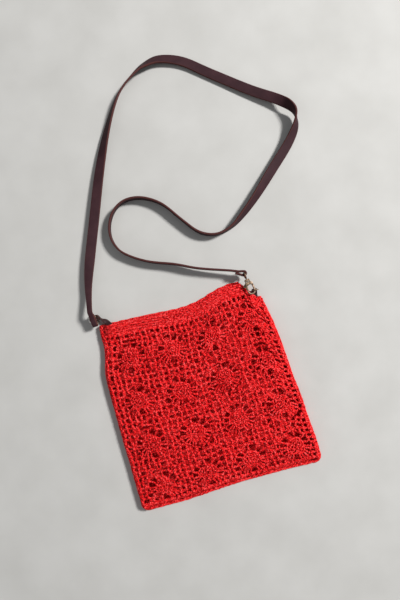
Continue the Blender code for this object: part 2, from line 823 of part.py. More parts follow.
def link_left(material):
    """The plain hidden link between the strap's left end and the left ring."""
    bar = link_bar()
    ring = left_ring_bar()
    floor = LINK_WIRE + FIT_GAP
    half = LEFT_END_WIDTH / 2 + FIT_GAP + LINK_WIRE
    arch = ring.x - LEFT_RING_HEIGHT + RING_WIRE
    near, far = arch + LINK_HALF_WIDTH, arch - LINK_HALF_WIDTH
    level = floor + 0.0020
    top = ring.y + RING_WIRE + FIT_GAP + 2.2 * LINK_WIRE
    middle = (near + far) / 2
    right = [
        Vector((bar.x, bar.y, bar.z)),
        Vector((bar.x + half - 0.0008, bar.y, bar.z)),
        Vector((bar.x + half, bar.y + 0.0004, bar.z - 0.0012)),
        Vector((bar.x + half, bar.y + 0.0012, level + 0.0012)),
        Vector((bar.x + half * 0.7, bar.y + 0.0036, level)),
        Vector((near, ring.y - 0.0040, level)),
        Vector((near, ring.y + 0.0006, level)),
        Vector((near - 0.0012, top - 0.0008, level)),
        Vector((middle, top, level)),
    ]
    left = [
        Vector((far + 0.0012, top - 0.0008, level)),
        Vector((far, ring.y + 0.0006, level)),
        Vector((far, ring.y - 0.0040, level)),
        Vector((bar.x - half, bar.y + 0.0036, level)),
        Vector((bar.x - half, bar.y + 0.0012, level + 0.0012)),
        Vector((bar.x - half, bar.y + 0.0004, bar.z - 0.0012)),
        Vector((bar.x - half + 0.0008, bar.y, bar.z)),
    ]
    return tube("link_left", smooth_path(right + left, 2, closed=True), LINK_WIRE, material, sides=6)


def box(name, low, high, material, parent):
    """A box between two corners."""
    points = [Vector(spot) for spot in product(*zip(low, high))]
    faces = [[0, 1, 3, 2], [4, 6, 7, 5], [0, 4, 5, 1], [2, 3, 7, 6], [0, 2, 6, 4], [1, 5, 7, 3]]
    return make_object(name, points, faces, material, parent)


def turned(name, profile, material, parent, sides=16):
    """A solid turned round the local Y axis from rows of (y, radius)."""
    points, faces = [], []
    for y, radius in profile:
        for m in range(sides):
            angle = 2 * math.pi * m / sides
            points.append(Vector((radius * math.cos(angle), y, radius * math.sin(angle))))
    for k in range(len(profile) - 1):
        for m in range(sides):
            b = (m + 1) % sides
            faces.append([k * sides + m, k * sides + b, (k + 1) * sides + b, (k + 1) * sides + m])
    faces.append(list(range(sides)))
    faces.append([(len(profile) - 1) * sides + m for m in range(sides)][::-1])
    return make_object(name, points, faces, material, parent)


def upright_rod(name, centre, radius, half, material, parent, sides=16):
    """A round rod along local Z."""
    points = []
    for z in (-half, half):
        for m in range(sides):
            angle = 2 * math.pi * m / sides
            x, y = radius * math.cos(angle), radius * math.sin(angle)
            points.append(Vector((centre[0] + x, centre[1] + y, z)))
    faces = [list(range(sides))[::-1], list(range(sides, 2 * sides))]
    for m in range(sides):
        b = (m + 1) % sides
        faces.append([m, b, sides + b, sides + m])
    return make_object(name, points, faces, material, parent)


def plate(name, outline, half, material, parent):
    """A flat plate of an outline in local X and Y, as thick as twice half."""
    count = len(outline)
    points = [Vector((x, y, -half)) for x, y in outline] + [Vector((x, y, half)) for x, y in outline]
    faces = [list(range(count))[::-1], list(range(count, 2 * count))]
    for k in range(count):
        b = (k + 1) % count
        faces.append([k, b, count + b, count + k])
    return make_object(name, points, faces, material, parent)


def window_depth():
    """Where the clasp's window ends: under the shank's head."""
    return COLLAR_LENGTH + 2 * FIT_GAP + SHANK_HEAD_HEIGHT


def hinge_spot():
    """The lever's hinge in the clasp's own frame."""
    return Vector((-HOOK_HALF_WIDTH + 0.0009, -(window_depth() + LEVER_ROOT_RADIUS + 0.0010), 0.0))


def swivel_eye(material, parent):
    """The eye with its shank and the head that holds the clasp's collar."""
    base = FIT_GAP + EYE_WIRE
    corner = 2 * EYE_WIRE
    half = RIGHT_END_WIDTH / 2 + corner
    right = [
        Vector((0, base, 0)),
        Vector((0, blend(base, EYE_LENGTH, 0.09), half * 0.45)),
        Vector((0, blend(base, EYE_LENGTH, 0.38), half * 0.90)),
        Vector((0, blend(base, EYE_LENGTH, 0.56), half)),
        Vector((0, EYE_LENGTH - corner, half)),
        Vector((0, EYE_LENGTH - corner * 0.3, half - corner * 0.3)),
        Vector((0, EYE_LENGTH, half - corner)),
        Vector((0, EYE_LENGTH, 0)),
    ]
    left = [Vector((0, p.y, -p.z)) for p in reversed(right[1:-1])]
    eye = tube("swivel_eye", smooth_path(right + left, 2, closed=True), EYE_WIRE, material, parent)
    head = -(COLLAR_LENGTH + FIT_GAP)
    profile = (
        (base, SHANK_RADIUS),
        (head, SHANK_RADIUS),
        (head, SHANK_HEAD_RADIUS),
        (head - SHANK_HEAD_HEIGHT, SHANK_HEAD_RADIUS * 0.8),
    )
    combine(eye, turned("shank", profile, material, parent), "UNION")
    return eye


def clasp_body(material, parent):
    """The collar with its window, the shoulder with the lever's slot and pin, and the hook."""
    window = window_depth()
    hinge = hinge_spot()
    foot = hinge.y - LEVER_ROOT_RADIUS - 0.0002
    side = HOOK_HALF_WIDTH
    outline = [
        (-COLLAR_HALF_WIDTH + 0.0006, 0.0),
        (COLLAR_HALF_WIDTH - 0.0006, 0.0),
        (COLLAR_HALF_WIDTH, -0.0006),
        (COLLAR_HALF_WIDTH, -window),
        (side + HOOK_WIRE * 0.8, -window - 0.0016),
        (side + HOOK_WIRE, foot + 0.0004),
        (side - HOOK_WIRE * 0.7, foot),
        (side - 0.0028, foot + 0.0008),
        (-side + 0.0026, foot + 0.0004),
        (-side - 0.0002, foot),
        (-side - HOOK_WIRE, foot + 0.0010),
        (-side - HOOK_WIRE * 0.8, -window - 0.0016),
        (-COLLAR_HALF_WIDTH, -window),
        (-COLLAR_HALF_WIDTH, -0.0006),
    ]
    body = plate("clasp_body", outline, BODY_HALF_THICKNESS, material, parent)
    tip = hinge.y - 0.0078
    hook = [
        Vector((side - 0.0002, foot + 0.0022, 0)),
        Vector((side, foot - 0.0010, 0)),
        Vector((side + 0.0001, (foot - HOOK_LENGTH) / 2, 0)),
        Vector((side - 0.0001, -HOOK_LENGTH + 0.0045, 0)),
        Vector((side * 0.72, -HOOK_LENGTH + 0.0019, 0)),
        Vector((side * 0.20, -HOOK_LENGTH + 0.0007, 0)),
        Vector((-side * 0.42, -HOOK_LENGTH + 0.0010, 0)),
        Vector((-side * 0.88, -HOOK_LENGTH + 0.0028, 0)),
        Vector((-side, tip - 0.0012, 0)),
        Vector((-side, tip, 0)),
    ]
    wire = smooth_path(hook, 2)
    sizes = [HOOK_WIRE * blend(1.15, 1.0, smooth_step(k / 5)) for k in range(len(wire))]
    combine(body, tube("hook", wire, sizes, material, parent, closed=False), "UNION")
    clear = SHANK_RADIUS + FIT_GAP
    bore = turned("bore", ((FIT_GAP, clear), (-window, clear)), material, parent)
    combine(body, bore, "DIFFERENCE")
    reach = SHANK_HEAD_RADIUS + FIT_GAP
    tall = BODY_HALF_THICKNESS + 0.001
    opening = box("window", (-reach, -window, -tall), (reach, -COLLAR_LENGTH, tall), material, parent)
    combine(body, opening, "DIFFERENCE")
    half = LEVER_THICKNESS / 2 + FIT_GAP
    wide = LEVER_ROOT_RADIUS + FIT_GAP
    low = (-side - 0.004, foot - 0.002, -half)
    high = (hinge.x + wide + FIT_GAP, hinge.y + wide, half)
    combine(body, box("slot", low, high, material, parent), "DIFFERENCE")
    pin = upright_rod("pin", hinge, LEVER_PIN_RADIUS, BODY_HALF_THICKNESS + 0.0002, material, parent)
    combine(body, pin, "UNION")
    return body


def clasp_lever(material, parent):
    """The lever: a root round the pin, a thumb piece and an arm to the hook's tip."""
    hinge = hinge_spot()
    root = LEVER_ROOT_RADIUS
    tip = -0.0078 + FIT_GAP
    side = -HOOK_HALF_WIDTH - hinge.x
    turns = [math.radians(angle) for angle in range(-30, 136, 15)]
    arc = [(root * math.cos(turn), root * math.sin(turn)) for turn in turns]
    thumb = [(-0.0026, 0.0008), (-0.0040, -0.0004), (-0.0042, -0.0018), (-0.0030, -0.0026)]
    arm = [
        (side - 0.0010, -0.0036),
        (side - 0.0010, tip + 0.0002),
        (side + 0.0010, tip + 0.0002),
        (side + 0.0013, -0.0040),
    ]
    lever = plate("clasp_lever", arc + thumb + arm, LEVER_THICKNESS / 2, material, parent)
    lever.location = hinge
    eye = upright_rod("bore", (0, 0), LEVER_PIN_RADIUS + FIT_GAP, LEVER_THICKNESS, material, parent)
    eye.location = hinge
    combine(lever, eye, "DIFFERENCE")
    return lever


def clasp_frame():
    """An empty at the clasp's swivel point; its Y axis is the swivel's axis."""
    frame = bpy.data.objects.new("clasp_frame", None)
    bpy.context.collection.objects.link(frame)
    frame.location = clasp_origin()
    frame.rotation_euler = (0, 0, CLASP_YAW)
    return frame


def main():
    clear_scene()
    red = make_material("red_yarn", (0.80, 0.012, 0.018), 0.85, 0.0)
    leather = make_material("leather", (0.075, 0.026, 0.030), 0.45, 0.0)
    brass = make_material("antique_brass", (0.42, 0.31, 0.20), 0.35, 1.0)
    front_panel(red)
    back_panel(red)
    side_gusset(red)
    top_band(red)
    strap(leather)
    tab_left(leather)
    tab_right(leather)
    up, left, level = Vector((0, 0, 1)), Vector((-1, 0, 0)), Vector((1, 0, 0))
    d_ring("ring_left", left_ring_bar(), up, left, LEFT_RING_HEIGHT, brass)
    d_ring("ring_right", right_ring_bar(), level, up, ring_height(), brass)
    link_left(brass)
    frame = clasp_frame()
    swivel_eye(brass, frame)
    clasp_body(brass, frame)
    clasp_lever(brass, frame)
    bpy.context.view_layer.update()


main()
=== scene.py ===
"""The looks of the crocheted shoulder bag: yarn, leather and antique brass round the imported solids."""

import json
import math
from collections import namedtuple

import bmesh
import bpy
import numpy as np
from mathutils import Matrix, Vector

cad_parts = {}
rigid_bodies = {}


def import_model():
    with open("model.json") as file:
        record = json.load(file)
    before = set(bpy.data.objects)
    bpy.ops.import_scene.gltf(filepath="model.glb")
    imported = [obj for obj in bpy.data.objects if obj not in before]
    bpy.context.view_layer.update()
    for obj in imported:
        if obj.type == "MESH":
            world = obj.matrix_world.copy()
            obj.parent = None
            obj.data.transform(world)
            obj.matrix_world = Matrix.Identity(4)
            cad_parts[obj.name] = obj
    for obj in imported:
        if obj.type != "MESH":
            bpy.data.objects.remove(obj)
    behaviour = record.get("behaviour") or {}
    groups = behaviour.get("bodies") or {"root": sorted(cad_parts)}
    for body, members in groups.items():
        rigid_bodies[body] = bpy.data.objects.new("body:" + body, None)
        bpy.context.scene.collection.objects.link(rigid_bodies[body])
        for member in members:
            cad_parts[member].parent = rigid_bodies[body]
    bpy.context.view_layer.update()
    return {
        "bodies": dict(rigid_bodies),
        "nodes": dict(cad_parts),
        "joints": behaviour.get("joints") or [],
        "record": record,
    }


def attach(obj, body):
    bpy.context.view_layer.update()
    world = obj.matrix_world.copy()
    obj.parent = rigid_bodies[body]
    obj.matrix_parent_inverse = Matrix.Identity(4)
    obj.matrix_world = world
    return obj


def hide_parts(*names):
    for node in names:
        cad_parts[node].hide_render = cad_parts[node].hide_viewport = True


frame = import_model()

# The pouch, as in the solids
BAG_WIDTH = 0.236
BAG_HEIGHT = 0.2375
POUCH_DEPTH = 0.0165
EDGE_DEPTH = 0.0105
WALL = 0.0025
GUSSET_BULGE = 0.0045
CORNER_RADIUS = 0.005
BAND_HEIGHT = 0.015
MOUTH_GAPE = 0.0045
BACK_RISE = 0.0035
BAND_RIDGE = 0.0004
SEAM_GAP = 0.0003

# Leather strap and tabs, and the bars that they go round, as in the solids
STRAP_WIDTH = 0.0120
LEFT_END_WIDTH = 0.0062
RIGHT_END_WIDTH = 0.0080
STRAP_THICKNESS = 0.0024
LOOP_REACH = 0.300
END_TAPER = 0.070
TAIL_LENGTH = 0.012
FOLD_RUN = 0.016
LEFT_HEADING = (0.06, -0.97, -0.24)
RIGHT_HEADING = (0.93, -0.37, 0.0)
TAB_WIDTH = 0.0060
TAB_THICKNESS = 0.0012
TAB_TUCK = 0.016
TAB_TAIL = 0.0060
TAB_RISE = 0.0047
PLY_GAP = 0.0004
FIT_GAP = 0.0003
RIGHT_RING_BEYOND = 0.0093
LEFT_RING_BEYOND = 0.0125
RING_WIRE = 0.00075
LINK_WIRE = 0.0008
LINK_ASIDE = 0.0028
LINK_BEYOND = 0.0040
LINK_BAR_HEIGHT = 0.0112
EYE_WIRE = 0.0010
EYE_LENGTH = 0.0080

# The lace, in mesh cells
COLUMNS = 32
LINES = 32
FLOWER_PITCH = 8
FLOWER_CENTRE = (4.5, 3.7)
FLOWERS = 4
RING_INNER = 1.52
RING_OUTER = 2.78
CLEARED = 2.95
SPOKE_OVERLAP = 0.05
CORE_KNOTS = 46
GOLDEN_ANGLE = 2.39996
LACE_PIECES = (("lace_lower", -1, 11), ("lace_middle", 11, 22), ("lace_upper", 22, 99))

# Margins: the lace's hem in metres, the rest in shares of the face
HEM = 0.004
FACE_EDGE = 0.004
BACK_EDGE = 0.006

# How far handwork strays: standard deviations in cells, in shares of a bar's length, in degrees
CROSSING_STRAY = 0.12
POST_BOW = 0.11
CHAIN_BOW = 0.09
CHAIN_SAG = -0.05
SPOKE_BOW = 0.05
CORE_STRAY = 0.05
FLOWER_TILT = 2.5
RING_STRAY = 0.20
RING_RIPPLE = 0.4

# The lace's bars: turns of twist, and how far they stand off the middle layer in metres
MESH_TURNS = 1.2
SPOKE_TURNS = 1.4
RING_TURNS_A_CELL = 2.1
LEAST_RING_TURNS = 4.0
POST_SWELL = 0.0005
SPOKE_SWELL = 0.0004
CHAIN_LIFT = -0.0003
INNER_RING_LIFT = 0.0002
OUTER_RING_LIFT = -0.0010
LIFT_STRAY = 0.00016

# Yarn: two twisted strands to a bar or a row, how far apart, how thick, and how flat they lie
STRAND = 0.00084
SPREAD = 0.00092
ROW_PITCH = 0.0033
TWIST_LENGTH = 0.0036
FLOOR_CLEAR = 0.0001
BACKING_DEPTH = 0.0004
STRAND_SIDES = 6
Rope = namedtuple("Rope", "spread radius flat")
MESH_ROPE = Rope(SPREAD, STRAND, 0.8)
SPOKE_ROPE = Rope(SPREAD * 0.72, STRAND * 0.84, 0.8)
RING_ROPE = Rope(SPREAD * 0.78, STRAND * 0.86, 0.8)
BACK_ROPE = Rope(0.0008, 0.00095, 0.3)
BAND_ROPE = Rope(0.00095, 0.00080, 0.75)
RIB_ROPE = Rope(0.00092, 0.00080, 0.6)
Knot = namedtuple("Knot", "across tall radius")
MESH_KNOT = Knot(0.00125, 0.0010, 0.00062)
CORE_KNOT = Knot(0.00155, 0.0009, 0.00080)
KNOT_LIFT = 0.00015
KNOT_LEAN = 0.0016

# Points along each bar, ring, knot, back row, band row and rib
BAR_POINTS = 8
RING_POINTS = 61
KNOT_POINTS = 9
BACK_POINTS = 108
FRONT_POINTS = 90
BAND_POINTS = 520
SIDE_POINTS = 60
RIB_POINTS = 620

# The band's rows as (share up the band, lift), and how much further up they run on its back
BAND_ROWS = ((0.08, 0), (0.28, 0), (0.48, 0), (0.68, BAND_RIDGE), (0.87, 0))
BACK_LEVEL = 1.12
# The gusset's ribs, degrees round it from its outermost line
RIB_ANGLES = (74, 37, 0, -37, -74)

# Tables of (share, value), as in the solids: sides, bottom, mouth and its gape
LEFT_IN = ((0, 0.023), (0.08, 0.021), (0.17, 0.019), (0.25, 0.017), (0.39, 0.012), (0.50, 0.010),
           (0.61, 0.008), (0.74, 0.011), (0.87, 0.038), (0.94, 0.037), (1, 0.042))
RIGHT_IN = ((0, 0), (0.08, 0), (0.17, 0.006), (0.25, 0.013), (0.39, 0.022), (0.50, 0.035),
            (0.61, 0.043), (0.74, 0.054), (0.87, 0.070), (0.94, 0.083), (1, 0.096))
BOTTOM_LINE = ((0, 0), (0.10, 0.001), (0.20, 0.002), (0.33, 0.009), (0.53, 0.022), (0.83, 0.027), (1, 0.024))
MOUTH_LINE = ((0, -0.009), (0.31, -0.027), (0.50, -0.038), (0.63, -0.024), (0.77, 0.016),
              (0.90, 0.030), (0.935, 0.002), (0.965, -0.042), (1, -0.068))
MOUTH_OPENING = ((0, 0), (0.35, 0.05), (0.55, 0.45), (0.74, 1), (0.85, 0.50), (0.93, 0.12), (1, 0))

Fold = namedtuple("Fold", "across up reach_across reach_up height")
FOLDS = (
    Fold(0.060, 0.875, 0.018, 0.060, -0.26),
    Fold(0.020, 0.80, 0.020, 0.18, 0.10),
    Fold(0.075, 0.66, 0.018, 0.14, -0.10),
    Fold(0.86, 0.955, 0.045, 0.050, -0.17),
    Fold(0.70, 0.90, 0.10, 0.08, 0.08),
    Fold(0.25, 0.30, 0.14, 0.16, 0.07),
    Fold(0.55, 0.50, 0.10, 0.20, -0.07),
    Fold(0.80, 0.30, 0.12, 0.18, 0.06),
    Fold(0.42, 0.78, 0.12, 0.09, -0.06),
)

Way = namedtuple("Way", "across up raised lean")
# The strap's free run from its left end to its right: across as a share of BAG_WIDTH, up from the
# mouth's corner as a share of LOOP_REACH, raised off the floor as a share of STRAP_WIDTH, and the lean
# from flat in degrees
STRAP_WAY = (
    Way(-0.464, 0.135, 0.75, 0),
    Way(-0.447, 0.194, 0.60, 4),
    Way(-0.415, 0.272, 0.50, 8),
    Way(-0.342, 0.427, 0.45, 6),
    Way(-0.253, 0.613, 0.35, -12),
    Way(-0.160, 0.771, 0.20, -46),
    Way(-0.059, 0.902, 0.02, -64),
    Way(0.052, 0.974, 0.00, -61),
    Way(0.123, 0.999, 0.02, -42),
    Way(0.201, 1.006, 0.05, -22),
    Way(0.312, 0.975, 0.08, -8),
    Way(0.435, 0.901, 0.12, 0),
    Way(0.616, 0.790, 0.22, 6),
    Way(0.731, 0.725, 0.40, 16),
    Way(0.788, 0.679, 0.50, 56),
    Way(0.810, 0.640, 0.40, 94),
    Way(0.793, 0.590, 0.35, 131),
    Way(0.733, 0.529, 0.28, 156),
    Way(0.625, 0.447, 0.18, 160),
    Way(0.511, 0.360, 0.12, 134),
    Way(0.415, 0.297, 0.06, 116),
    Way(0.336, 0.258, 0.00, 95),
    Way(0.252, 0.247, 0.00, 90),
    Way(0.171, 0.274, 0.00, 90),
    Way(0.101, 0.340, 0.00, 88),
    Way(0.022, 0.421, 0.00, 88),
    Way(-0.069, 0.466, 0.00, 88),
    Way(-0.157, 0.474, 0.00, 86),
    Way(-0.227, 0.447, 0.00, 84),
    Way(-0.269, 0.396, 0.00, 84),
    Way(-0.280, 0.338, 0.00, 86),
    Way(-0.254, 0.282, 0.00, 88),
    Way(-0.192, 0.239, 0.00, 90),
    Way(-0.107, 0.202, 0.06, 90),
    Way(0.008, 0.169, 0.16, 90),
    Way(0.122, 0.128, 0.30, 90),
)

# One flower's spokes: degrees from its right, and how many stand side by side, a step apart
SPOKES = (
    (90, 1), (52, 1), (24, 1), (-8, 2), (-39, 2), (-66, 2),
    (128, 1), (156, 1), (188, 2), (219, 2), (246, 2),
)
SPOKE_STEP = 13

# Colours: rows of (place on the ramp, linear colour), and each leather's dark, light and cut edge
# The yarn's ramp: red dye in its middle, painted shade of stitch crevices at its dark end, and a painted
# highlight of lit stitches at its pink top end
YARN_TONES_AND_PAINTED_LIGHT = (
    (0.02, (0.15, 0.0, 0.0005)),
    (0.27, (0.62, 0.002, 0.004)),
    (0.48, (0.96, 0.010, 0.013)),
    (0.86, (1.0, 0.110, 0.110)),
)
YARN_SHEEN = (1.0, 0.45, 0.42, 1.0)
BRASS_TONES = (
    (0.25, (0.065, 0.046, 0.029)),
    (0.52, (0.185, 0.128, 0.084)),
    (0.80, (0.52, 0.375, 0.285)),
)
FLOOR_TONES = ((0.3, (0.475, 0.465, 0.440)), (0.7, (0.525, 0.515, 0.490)))
Leather = namedtuple("Leather", "name dark light edge grain roughness")
STRAP_LEATHER = Leather(
    "strap_leather", (0.026, 0.0098, 0.0125), (0.052, 0.0205, 0.0245), (0.070, 0.022, 0.020), 0.7, 0.64
)
TAB_LEATHER = Leather(
    "tab_leather", (0.022, 0.009, 0.010), (0.042, 0.018, 0.018), (0.050, 0.018, 0.015), 0.6, 0.52
)

# Edges of the clasp: how far they are eased, and from what angle they count as sharp
EDGE_EASE = 0.00025
SHARP_EDGE = math.radians(52)
SHARP_SHADE = math.radians(50)

# The floor, the view and the lights; a lamp's place is from the aim, along the view's right and up
FLOOR_REACH = 14.0
FLOOR_DROP = 0.0002
VIEW_TURN = math.radians(14.5)
VIEW_AIM = (0.0209, 0.117, 0.0)
VIEW_HEIGHT = 0.5
LENS = 36
Lamp = namedtuple("Lamp", "name right up height size power")
LAMPS = (
    Lamp("key", 1.90, 1.15, 2.10, 0.50, 130),
    Lamp("fill", -0.9, -0.5, 1.4, 1.6, 1.5),
)
SKY = (0.92, 0.95, 1.0, 1.0)
SKY_STRENGTH = 0.27

SEED = 11
rng = np.random.default_rng(SEED)


def blend(first, second, share):
    return first + (second - first) * share


def smooth_step(share):
    share = np.clip(share, 0.0, 1.0)
    return share * share * (3 - 2 * share)


def curve(rows, place):
    """A smooth curve through rows of (place, value), at one or many places."""
    places, values = np.array(rows, float).T
    place = np.clip(place, places[0], places[-1])
    k = np.clip(np.searchsorted(places, place, side="right") - 1, 0, len(places) - 2)
    last = len(places) - 1
    low = np.maximum(np.arange(last + 1) - 1, 0)
    high = np.minimum(np.arange(last + 1) + 1, last)
    slopes = (values[high] - values[low]) / (places[high] - places[low])
    span = places[k + 1] - places[k]
    t = (place - places[k]) / span
    start = (2 * t**3 - 3 * t**2 + 1) * values[k] + (t**3 - 2 * t**2 + t) * span * slopes[k]
    end = (3 * t**2 - 2 * t**3) * values[k + 1] + (t**3 - t**2) * span * slopes[k + 1]
    return start + end


def side_x(up, side):
    inside = BAG_WIDTH * curve(LEFT_IN if side < 0 else RIGHT_IN, up)
    height = np.clip(up * BAG_HEIGHT, 0, CORNER_RADIUS)
    corner = CORNER_RADIUS - np.sqrt(CORNER_RADIUS**2 - (CORNER_RADIUS - height) ** 2)
    return side * (BAG_WIDTH / 2 - inside - GUSSET_BULGE - corner)


def face_plan(across, up):
    """Plan position on the bag's face, inside the gusset."""
    bottom = -BAG_HEIGHT / 2 + BAG_HEIGHT * curve(BOTTOM_LINE, across)
    mouth = BAG_HEIGHT / 2 + BAG_HEIGHT * curve(MOUTH_LINE, across)
    x = blend(side_x(up, -1), side_x(up, 1), across)
    return x, blend(bottom, mouth, up) + GUSSET_BULGE * (1 - up)


def front_depth(across, up):
    """Height of the front's outer surface over the floor."""
    crown = (1 - (2 * across - 1) ** 4) * (1 - (1 - np.minimum(up / 0.35, 1.0)) ** 3)
    depth = EDGE_DEPTH + (POUCH_DEPTH - EDGE_DEPTH) * crown
    for fold in FOLDS:
        away = ((across - fold.across) / fold.reach_across) ** 2 + ((up - fold.up) / fold.reach_up) ** 2
        depth = depth + POUCH_DEPTH * fold.height * smooth_step(up / 0.04) * np.exp(-away)
    closed = 2 * WALL + 2 * TAB_THICKNESS + PLY_GAP + 2 * SEAM_GAP
    mouth = closed + MOUTH_GAPE * curve(MOUTH_OPENING, across)
    return blend(depth, mouth, smooth_step((up - 0.72) / 0.28) ** 1.5)


def line_share(line):
    """Share up the bag of a line of the lace, counted in mesh cells from its first row."""
    corner = CORNER_RADIUS / BAG_HEIGHT
    top = 1 - (BAND_HEIGHT + SEAM_GAP) / BAG_HEIGHT
    low = blend(HEM / BAG_HEIGHT, corner, line)
    high = blend(corner, top, (line - 1) / (LINES - 1))
    return np.where(line < 1, low, high)


def lace_point(cells):
    """Points of the front's middle layer for places in mesh cells, in the last axis."""
    across = np.clip(cells[..., 0] / COLUMNS, FACE_EDGE, 1 - FACE_EDGE)
    up = line_share(cells[..., 1])
    x, y = face_plan(across, up)
    return np.stack([x, y, front_depth(across, up) - WALL / 2], -1)


def unit(vectors):
    return vectors / np.maximum(np.linalg.norm(vectors, axis=-1, keepdims=True), 1e-12)


def lace_normals(cells):
    step = 0.2
    right = lace_point(cells + [step, 0]) - lace_point(cells - [step, 0])
    above = lace_point(cells + [0, step]) - lace_point(cells - [0, step])
    return unit(np.cross(right, above))


def strands(centres, normals, turns, rope, phase):
    """Two strands twisted round each of many centre lines: arrays of (line, point, xyz)."""
    along = unit(np.gradient(centres, axis=1))
    sides = unit(np.cross(along, normals))
    faces = np.cross(sides, along)
    lengths = np.linalg.norm(np.diff(centres, axis=1), axis=2)
    run = np.concatenate([np.zeros((len(centres), 1)), np.cumsum(lengths, 1)], 1)
    share = run / np.maximum(run[:, -1:], 1e-9)
    found = []
    for half in (0.0, math.pi):
        angle = 2 * math.pi * np.reshape(turns, (-1, 1)) * share + half + np.reshape(phase, (-1, 1))
        swing = sides * np.cos(angle)[..., None] + rope.flat * faces * np.sin(angle)[..., None]
        found.append(centres + rope.spread * swing)
    return np.concatenate(found), np.concatenate([normals, normals])


def tubes(paths, normals, radius):
    """Points, quads and yarn coordinates of a closed tube along each path."""
    count, steps = paths.shape[:2]
    sides = STRAND_SIDES
    along = unit(np.gradient(paths, axis=1))
    right = unit(np.cross(along, normals))
    above = np.cross(right, along)
    angles = 2 * math.pi * np.arange(sides) / sides
    radii = np.broadcast_to(np.asarray(radius, float), (count,))[:, None, None, None]
    ring = right[:, :, None] * np.cos(angles)[:, None] + above[:, :, None] * np.sin(angles)[:, None]
    points = (paths[:, :, None] + radii * ring).reshape(-1, 3)
    lengths = np.linalg.norm(np.diff(paths, axis=1), axis=2)
    run = np.concatenate([np.zeros((count, 1)), np.cumsum(lengths, 1)], 1) * 1000
    n, m, k = np.meshgrid(np.arange(count), np.arange(steps - 1), np.arange(sides), indexing="ij")
    first = (n * steps + m) * sides
    after = (k + 1) % sides
    quads = np.stack([first + k, first + after, first + sides + after, first + sides + k], -1)
    low, high = run[:, :-1][:, :, None] + 0 * k, run[:, 1:][:, :, None] + 0 * k
    around = np.stack([k, k + 1, k + 1, k], -1) / sides
    places = np.stack([np.stack([low, low, high, high], -1), around], -1)
    ends = []
    for start in (0, steps - 1):
        base = (np.arange(count) * steps + start) * sides
        order = list(range(sides)) if start else list(range(sides))[::-1]
        for a in range(1, sides - 2, 2):
            ends.append(np.stack([base + order[k] for k in (0, a, a + 1, a + 2)], -1))
    ends = np.concatenate(ends)
    quads = np.concatenate([quads.reshape(-1, 4), ends])
    places = np.concatenate([places.reshape(-1, 4, 2), np.zeros((len(ends), 4, 2))])
    return points, quads, places


def yarn_piece(name, parts, material, nodes, body="bag"):
    """One piece from several sets of tubes, in place of CAD nodes."""
    points, quads, places, base = [], [], [], 0
    for p, q, w in parts:
        points.append(p)
        quads.append(q + base)
        places.append(w)
        base += len(p)
    points, quads, places = np.concatenate(points), np.concatenate(quads), np.concatenate(places)
    points[:, 2] = np.maximum(points[:, 2], FLOOR_CLEAR)
    mesh = bpy.data.meshes.new(name)
    mesh.vertices.add(len(points))
    mesh.vertices.foreach_set("co", points.astype(np.float32).ravel())
    mesh.loops.add(quads.size)
    mesh.loops.foreach_set("vertex_index", quads.astype(np.int32).ravel())
    mesh.polygons.add(len(quads))
    mesh.polygons.foreach_set("loop_start", np.arange(0, quads.size, 4, dtype=np.int32))
    layer = mesh.uv_layers.new(name="yarn")
    layer.uv.foreach_set("vector", places.astype(np.float32).ravel())
    mesh.update(calc_edges=True)
    mesh.shade_smooth()
    mesh.materials.append(material)
    made = bpy.data.objects.new(name, mesh)
    bpy.context.scene.collection.objects.link(made)
    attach(made, body)
    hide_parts(*nodes)


def flower_centres():
    return np.array([(FLOWER_CENTRE[0] + FLOWER_PITCH * i, FLOWER_CENTRE[1] + FLOWER_PITCH * j)
                     for j in range(FLOWERS) for i in range(FLOWERS)])


def straight_runs(starts, ends, bow):
    """Paths in cells from starts to ends, each bowed sideways by a share of its length."""
    share = np.linspace(0, 1, BAR_POINTS)[None, :, None]
    across = ends - starts
    side = np.stack([-across[:, 1], across[:, 0]], -1)[:, None]
    swell = np.sin(math.pi * share) * np.reshape(bow, (-1, 1, 1))
    return starts[:, None] + across[:, None] * share + side * swell


def mesh_bars():
    """Posts and chains of the plain mesh between the flowers, and the places of their knots."""
    c, r = np.meshgrid(np.arange(COLUMNS + 1.0), np.arange(LINES + 1.0), indexing="ij")
    spots = np.stack([c, r], -1)
    inside = (c > 0) & (c < COLUMNS) & (r > 0) & (r < LINES)
    spots = spots + rng.normal(0, CROSSING_STRAY, spots.shape) * inside[..., None]
    centres = flower_centres()

    def nearest(places):
        away = places[..., None, :] - centres
        far = np.linalg.norm(away, axis=-1)
        pick = far.argmin(-1)
        return np.take_along_axis(far, pick[..., None], -1)[..., 0], centres[pick]

    far, own = nearest(spots)
    moved = own + (spots - own) * (RING_OUTER / np.maximum(far, 0.1))[..., None]
    spots = np.where((far < RING_OUTER)[..., None], moved, spots)
    posts = (spots[:, :-1].reshape(-1, 2), spots[:, 1:].reshape(-1, 2))
    chains = (spots[:-1].reshape(-1, 2), spots[1:].reshape(-1, 2))
    flat = np.stack([c, r], -1)
    post_middles = (flat[:, :-1] + flat[:, 1:]).reshape(-1, 2) / 2
    chain_middles = (flat[:-1] + flat[1:]).reshape(-1, 2) / 2
    posts = [p[nearest(post_middles)[0] > CLEARED] for p in posts]
    chains = [p[nearest(chain_middles)[0] > CLEARED] for p in chains]
    knots = spots[far > RING_OUTER - 0.1].reshape(-1, 2)
    return posts, chains, knots


